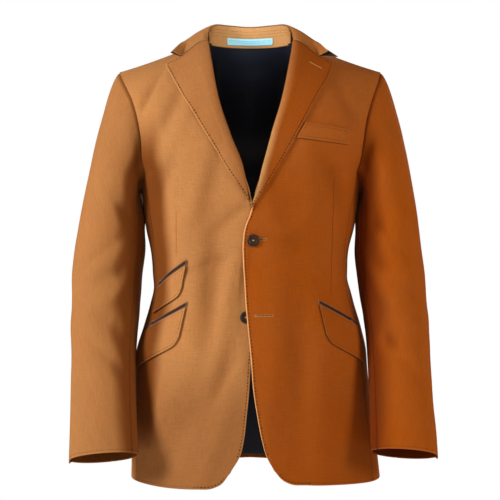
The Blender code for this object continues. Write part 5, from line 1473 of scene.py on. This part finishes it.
def bake(thing):
    """Turns what an object's modifiers make into its mesh."""
    graph = bpy.context.evaluated_depsgraph_get()
    made = bpy.data.meshes.new_from_object(thing.evaluated_get(graph))
    thing.modifiers.clear()
    thing.data = made

print("finishes in all:", len(bpy.data.materials))

# %% Buttons in place
BUTTON_STEPS = 48
FINE_BUTTON = by_length([(row.radius * BUTTON_RADIUS, row.rise * BUTTON_THICK) for row in BUTTON])
SHANK = CLOTH / 2 + LIE       # how far a button's back stands off the middle of the front's wall
HOLE_RADIUS = 0.0009
HOLE_OUT = 0.0021             # from the button's middle to a hole's
BAR_STEPS, BAR_SIDES = 9, 6   # points along and round a bar of thread
BAR_REACH = 0.707             # half the length of a bar, in shares of HOLE_OUT
BAR_APART = 0.25              # half the distance between the two bars
BAR_HIGH = BUTTON_THICK * 0.74
BAR_BOW = 0.00035
BAR_HALF = (0.0005, 0.0004)   # a bar's half width and half height

def laid_out(tree, across, height, lift):
    """Places laid on a panel, and the ways straight out of it there."""
    line = lay(tree, across, height, lift)
    return line, lay(tree, across, height, lift + 0.01)

def button_at(name, node, tree, place, share_turn):
    """A button lying on a front, with its four holes and thread."""
    spot, beyond = (Vector(value) for value in laid_out(tree, *place, SHANK))
    turn = (beyond - spot).to_track_quat("Z", "Y").to_matrix()
    profile = FINE_BUTTON(np.linspace(0, 1, 26))
    profile[0, 0] = profile[-1, 0] = 0.0
    button = placed(name, *spun([tuple(row) for row in profile], BUTTON_STEPS), HORN, spot, turn)
    cutters = []
    for k in range(4):
        angle = share_turn + math.pi / 2 * k + math.pi / 4
        centre = np.array(Vector((HOLE_OUT * math.cos(angle), HOLE_OUT * math.sin(angle), 0)))
        places, faces = spun([(0, 0.006), (HOLE_RADIUS, 0.006), (HOLE_RADIUS, -0.001), (0, -0.001)], 16)
        cutters.append(placed(f"cutter_{k}", places + centre, faces, HORN, spot, turn))
    for cutter in cutters:
        hole = button.modifiers.new("hole", "BOOLEAN")
        hole.operation = "DIFFERENCE"
        hole.solver = "EXACT"
        hole.object = cutter
    bake(button)
    for cutter in cutters:
        bpy.data.objects.remove(cutter, do_unlink=True)
    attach(button, "root")
    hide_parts(node)
    places = []
    faces = []
    for sign in (-1, 1):
        base = len(places)
        for k in range(BAR_STEPS):
            along = (k / (BAR_STEPS - 1) - 0.5) * 2
            bow = BAR_BOW * (1 - along ** 2)
            for j in range(BAR_SIDES):
                a = 2 * math.pi * j / BAR_SIDES
                places.append((along * HOLE_OUT * BAR_REACH,
                               sign * HOLE_OUT * BAR_APART + BAR_HALF[0] * math.cos(a),
                               BAR_HIGH + bow + BAR_HALF[1] * math.sin(a)))
        for start in range(base, len(places) - BAR_SIDES, BAR_SIDES):
            for j in range(BAR_SIDES):
                n = (j + 1) % BAR_SIDES
                faces.append((start + j, start + n, start + BAR_SIDES + n, start + BAR_SIDES + j))
        faces.append(tuple(base + j for j in reversed(range(BAR_SIDES))))
        faces.append(tuple(range(len(places) - BAR_SIDES, len(places))))
    thread = placed(f"{name}_thread", places, faces, PALE_THREAD, spot, turn)
    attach(thread, "root")
    print(name, "at", tuple(round(value, 4) for value in spot), len(button.data.polygons), "faces")

button_at("button_upper_horn", "button_upper", FRONT_TREES[1], BUTTON_UPPER, 0.1)
button_at("button_lower_horn", "button_lower", FRONT_TREES[-1], BUTTON_LOWER, 0.5)

# %% [markdown]
# ## Stitches
# Tailors fix the edges of lapels, fronts and flaps with pick stitches: small stitches a few millimetres
# from the edge, each in a slight dimple. Placing hundreds by hand would be slow and too even, so a tree
# of Geometry Nodes sets one stitch every few millimetres along a path, turned with it, with a fixed seed
# for the small differences. The buttonholes are whipped with the same tree, its stitches set crosswise.

# %% Stitch tree
STITCH_INPUTS = {"Pitch": 0.0054, "Along": 0.0030, "Across": 0.0022, "High": 0.0010, "Uneven": 0.2}

def stitch_tree(name, finish, seed):
    """Geometry Nodes that set stitches along the edges of a mesh."""
    tree = bpy.data.node_groups.new(name, "GeometryNodeTree")
    for way in ("INPUT", "OUTPUT"):
        tree.interface.new_socket("Geometry", in_out=way, socket_type="NodeSocketGeometry")
    for word, value in STITCH_INPUTS.items():
        socket = tree.interface.new_socket(word, in_out="INPUT", socket_type="NodeSocketFloat")
        socket.default_value = value

    def made(kind, inputs=None, **options):
        return node_of(tree, kind, inputs, **options).outputs

    given = made("NodeGroupInput")
    curve = made("GeometryNodeMeshToCurve", {0: given["Geometry"]})
    points = made("GeometryNodeCurveToPoints", {"Curve": curve[0], "Length": given["Pitch"]}, mode="LENGTH")
    bead = made("GeometryNodeMeshUVSphere", {"Segments": 6, "Rings": 4, "Radius": 0.5})
    size = made("ShaderNodeCombineXYZ", {"X": given["Along"], "Y": given["Across"], "Z": given["High"]})
    out = made("GeometryNodeInputNamedAttribute", {"Name": "out"}, data_type="FLOAT_VECTOR")
    along = made("FunctionNodeAlignRotationToVector", {"Vector": points["Tangent"]}, axis="X")
    turned = {"Rotation": along["Rotation"], "Vector": out["Attribute"]}
    upright = made("FunctionNodeAlignRotationToVector", turned, axis="Z", pivot_axis="X")
    least, most = (
        made("ShaderNodeMath", {0: 1.0, 1: given["Uneven"]}, operation=operation)[0]
        for operation in ("SUBTRACT", "ADD")
    )
    vary = made("FunctionNodeRandomValue", {"Seed": seed, 2: least, 3: most}, data_type="FLOAT")
    scale = made("ShaderNodeVectorMath", {0: size[0], "Scale": vary[1]}, operation="SCALE")
    place = made("GeometryNodeInstanceOnPoints", {
        "Points": points["Points"],
        "Instance": bead["Mesh"],
        "Rotation": upright["Rotation"],
        "Scale": scale[0],
    })
    real = made("GeometryNodeRealizeInstances", {0: place[0]})
    paint = made("GeometryNodeSetMaterial", {"Geometry": real[0], "Material": finish})
    made("NodeGroupOutput", {0: paint[0]})
    return tree

def stitched(name, paths, finish, seed, **sizes):
    """Stitches along paths, each a list of points and the directions straight out of the cloth there."""
    places = []
    edges = []
    outs = []
    for line, out in paths:
        edges += [(len(places) + k, len(places) + k + 1) for k in range(len(line) - 1)]
        places += [tuple(point) for point in line]
        outs += [tuple(direction) for direction in out]
    piece = mesh_thing(name, places, [], edges=edges)
    layer = piece.data.attributes.new("out", "FLOAT_VECTOR", "POINT")
    layer.data.foreach_set("vector", np.array(outs, np.float32).ravel())
    tree = stitch_tree(f"{name}_tree", finish, seed)
    nodes = piece.modifiers.new("stitches", "NODES")
    nodes.node_group = tree
    for socket in tree.interface.items_tree:
        if socket.in_out == "INPUT" and socket.name in sizes:
            nodes[socket.identifier] = float(sizes[socket.name])
    bake(piece)
    piece.data.shade_smooth()
    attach(piece, "root")
    print(name, len(piece.data.polygons), "faces along", len(paths), "paths")

# %% Pick stitches
PICK_IN = 3.6             # millimetres from a finished edge to its pick stitches
PICK_SINK = 0.0001        # how deep a stitch's middle lies under the cloth's face
PICK_ROWS = {1: 0.93, -1: 0.90}   # share of the rows from hem to armpit that a front is stitched up to
STAND_STITCH_ROWS = (0.50, 0.64, 0.78)
STAND_STITCH_ENDS = (0.12, 0.88)
NECK_MIDDLE = (0.0, 0.0, 0.02)

def inside_line(grid, edge, wall, start=0.0, stop=1.0):
    """A path along one edge of a grid, a stitch's distance square in from it, on the outer face."""
    away = outward(grid)
    if edge in ("first", "last"):
        grid = grid.transpose(1, 0, 2)
        away = away.transpose(1, 0, 2)
    if edge in ("last", "top"):
        grid = grid[::-1]
        away = away[::-1]
    inward = np.cross(away[0], np.gradient(grid[0], axis=0))
    inward = unit(inward) * np.sign((inward * (grid[2] - grid[0])).sum(axis=-1, keepdims=True))
    surface = tree_of(grid)
    last = grid.shape[1] - 1
    chosen = list(range(int(start * last), int(stop * last) + 1))
    line = []
    for k in chosen:
        spot = surface.find_nearest(Vector(grid[0, k] + inward[k] * PICK_IN / 1000))[0]
        line.append(np.array(spot) + away[2, k] * (wall / 2 - PICK_SINK))
    return np.array(line), away[2, chosen]

paths = []
front_rows = FRONT_GRID[1] / (FRONT_GRID[1] + FRONT_GRID[2])
for side in (1, -1):
    paths.append(inside_line(LAPELS[side], "last", FACED, 0.04, 0.975))
    paths.append(inside_line(LAPELS[side], "top", FACED, GORGE_SHARE * 0.93, 0.96))
    paths.append(inside_line(FRONT_GRIDS[side], "first", CLOTH, 0.03, front_rows * PICK_ROWS[side]))
    paths.append(inside_line(FRONT_GRIDS[side], "bottom", CLOTH, 0.07, 0.42))
stitched("pick_stitches", paths, DARK_THREAD, 7)

paths = []
for points in FLAP_GRIDS.values():
    paths.append(inside_line(points, "first", FACED, 0.10, 0.86))
    paths.append(inside_line(points, "top", FACED, 0.08, 0.98))
stitched("flap_stitches", paths, FAINT_THREAD, 8, Across=0.0010)

first, last = (int(share * COLLAR_COLUMNS) for share in STAND_STITCH_ENDS)
stand_out = -outward(stand, NECK_MIDDLE)
paths = []
for share in STAND_STITCH_ROWS:
    row = int(round(share * (len(stand) - 1)))
    out = stand_out[row, first:last]
    paths.append((stand[row, first:last] + out * CLOTH / 2, out))
stitched("stand_stitches", paths, FAINT_THREAD, 9, Pitch=0.0042, Along=0.0030, Across=0.0010)

# %% Buttonholes
# A buttonhole seen from the front: its eye's place, its length away from the eye, its slope in degrees,
# and the radius of its eye. Only the lower one has a round eye.
Buttonhole = namedtuple("Buttonhole", "across height reach turn eye")
HOLES = (
    Buttonhole(0.0095, -0.4610, 0.0275, 0.5, 0.0017),
    Buttonhole(0.0130, -0.3380, 0.0140, 0.5, 0.0),
)
LAPEL_HOLE = Buttonhole(0.0985, -0.0445, 0.0225, -27.0, 0.0)
EYE_FROM, EYE_ROUND = 35, 290     # degrees: where the eye's round starts, and how far it goes
SLIT_FROM = 0.12          # share of the length at which the two straight sides begin
WHIPPING = {"Pitch": 0.0007, "Along": 0.0008, "High": 0.0006, "Uneven": 0.12}

def keyhole(hole, tree, lift, half=0.00095):
    """The outline of a buttonhole on a panel, closed, with the panel's outward directions."""
    eye = hole.eye or half
    turns = [math.radians(EYE_FROM + EYE_ROUND * k / 12) for k in range(13)]
    local = [(eye * math.cos(a), eye * math.sin(a)) for a in turns]
    local += [(share * hole.reach, -half) for share in np.linspace(SLIT_FROM, 1.0, 12)]
    local += [(share * hole.reach, half) for share in np.linspace(1.0, SLIT_FROM, 12)]
    local.append(local[0])
    tilt = math.radians(hole.turn)
    x = np.array([hole.across + u * math.cos(tilt) - v * math.sin(tilt) for u, v in local])
    z = np.array([hole.height + u * math.sin(tilt) + v * math.cos(tilt) for u, v in local])
    line, beyond = laid_out(tree, x, z, lift)
    return line, unit(beyond - line)

hole_paths = [keyhole(hole, FRONT_TREES[1], CLOTH / 2) for hole in HOLES]
stitched("buttonhole_stitches", hole_paths, PALE_THREAD, 11, Across=0.0009, **WHIPPING)
hole_paths = [keyhole(LAPEL_HOLE, tree_of(LAPELS[1]), FACED / 2, 0.0004)]
stitched("lapel_buttonhole_stitches", hole_paths, PALE_THREAD, 12, Across=0.0008, **WHIPPING)

RIDGE_STEPS = 24
RIDGE_LOW, RIDGE_HIGH = -0.0003, 0.0002    # from the cloth's face to the strip's foot and its top
RIDGE_TOP = 0.7           # share of its foot's width that its top has

def ridge(name, tree, start, stop, half, finish):
    """A thin closed strip on a panel: the cut of a buttonhole or the line of a dart."""
    start, stop = np.array(start), np.array(stop)
    beside = np.array((stop[1] - start[1], start[0] - stop[0])) / np.linalg.norm(stop - start)
    places = []
    for share in np.linspace(0, 1, RIDGE_STEPS):
        slim = half * (0.4 + 0.6 * math.sin(math.pi * share) ** 0.3)
        top = slim * RIDGE_TOP
        for v, high in ((slim, RIDGE_LOW), (-slim, RIDGE_LOW), (-top, RIDGE_HIGH), (top, RIDGE_HIGH)):
            places.append(tuple(lay(tree, *(mix(start, stop, share) + beside * v), CLOTH / 2 + high)))
    faces = [(0, 1, 2, 3), tuple(4 * (RIDGE_STEPS - 1) + k for k in (3, 2, 1, 0))]
    for step in range(0, 4 * (RIDGE_STEPS - 1), 4):
        for k, n in ((0, 1), (1, 2), (2, 3), (3, 0)):
            faces.append((step + k, step + 4 + k, step + 4 + n, step + n))
    piece = mesh_thing(name, places, faces, [finish])
    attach(piece, "root")

# Each buttonhole's cut is a near-black strip that paints the shade inside its opening.
for number, hole in enumerate(HOLES, 1):
    tilt = math.radians(hole.turn)
    stop = (hole.across + hole.reach * math.cos(tilt), hole.height + hole.reach * math.sin(tilt))
    ridge(f"buttonhole_cut_{number}", FRONT_TREES[1], (hole.across, hole.height), stop, 0.0009, SLIT)
# A dart takes in the waist; it shows as a fine line where its fold was stitched.
ridge("dart_left", FRONT_TREES[1], (0.1375, -0.225), (0.1320, -0.432), 0.0005, SEAM_SHADE)
ridge("dart_right", FRONT_TREES[-1], (-0.1200, -0.290), (-0.1205, -0.368), 0.0005, SEAM_SHADE_PALE)
print("buttonholes:", len(HOLES) + 1)

# %% [markdown]
# ## Floor and light
# The photograph has a white ground and light from both sides, stronger from the wearer's right. Two soft
# lamps at the sides model the folds, a weak one in front opens the shadows, and one behind serves views
# of the back. An image of a room could light it too, but lamps keep the script free of other files.

# %% Floor and light
FLOOR = -1.25
FLOOR_RADIUS = 2.5        # ends below the picture, so the paper-white world stands behind the jacket
FLOOR_STEPS = 64
AIM = (0.0, 0.0, -0.33)
NECK_AIM = (0.0, 0.07, 0.014)

def floor():
    """A pale round floor."""
    angles = 2 * np.pi * np.arange(FLOOR_STEPS) / FLOOR_STEPS
    places = [(FLOOR_RADIUS * math.cos(a), FLOOR_RADIUS * math.sin(a), FLOOR) for a in angles]
    made, tree, shader = finish_of("pale_paper")
    feed(tree, shader, {"Base Color": (0.86, 0.85, 0.84), "Roughness": 0.9})
    mesh_thing("pale_floor", places, [tuple(range(FLOOR_STEPS))], [made])

def lamp(name, place, power, colour, aim=AIM, kind="AREA", **options):
    """A soft lamp that faces the jacket's middle, or another aim."""
    light = bpy.data.lights.new(name, kind)
    light.energy = power
    light.color = colour
    for word, value in options.items():
        setattr(light, word, value)
    thing = thing_of(name, light)
    thing.location = place
    thing.rotation_euler = (Vector(aim) - Vector(place)).to_track_quat("-Z", "Y").to_euler()

def room():
    """A world that shows paper white behind the jacket and gives a weak warm light from all round."""
    world = bpy.data.worlds.new("room")
    world.use_nodes = True
    tree = world.node_tree
    warm = feed(tree, tree.nodes["Background"], {"Color": (1.0, 0.66, 0.42), "Strength": 0.11})
    white = node_of(tree, "ShaderNodeBackground", {"Color": (1, 1, 1)})
    seen = node_of(tree, "ShaderNodeLightPath").outputs["Is Camera Ray"]
    choose = node_of(tree, "ShaderNodeMixShader", {0: seen, 1: warm.outputs[0], 2: white.outputs[0]})
    feed(tree, tree.nodes["World Output"], {"Surface": choose.outputs[0]})
    bpy.context.scene.world = world

floor()
lamp("window", (-2.15, -1.15, 0.45), 61, (1.0, 0.93, 0.86), size=0.7)
lamp("side_lamp", (1.95, -1.25, 0.25), 23, (1.0, 0.86, 0.66), size=0.7)
lamp("front_fill", (0.2, -3.2, 0.2), 12, (1.0, 0.84, 0.68), size=1.6)
lamp("back_lamp", (0.7, 2.7, 0.7), 60, (1.0, 0.90, 0.78), size=1.4)
lamp("neck_lamp", (0.0, -2.0, 0.55), 160, (0.78, 0.90, 1.0), NECK_AIM, "SPOT",
     spot_size=math.radians(3.6), spot_blend=0.8, shadow_soft_size=0.05)
room()
bpy.context.scene.view_settings.view_transform = "Standard"

# %% [markdown]
# ## Camera
# The jacket was photographed level with its middle, from far enough away that its sides look straight.
# The lens follows from the distance and the width that the picture takes in, so each can be changed alone.

# %% Camera
DISTANCE = 2.4            # from the camera to the jacket's middle
FRAME_WIDTH = 0.85        # metres across the picture at that distance
AIM_HEIGHT = -0.355
SENSOR = 36.0             # width of the sensor in millimetres
lens = bpy.data.cameras.new("camera")
lens.sensor_width = SENSOR
lens.lens = SENSOR * DISTANCE / FRAME_WIDTH
camera = thing_of("camera", lens)
camera.location = (0.0, -DISTANCE, AIM_HEIGHT)
camera.rotation_euler = (math.radians(90), 0, 0)
bpy.context.scene.camera = camera
print("focal length:", round(lens.lens, 1), "mm")
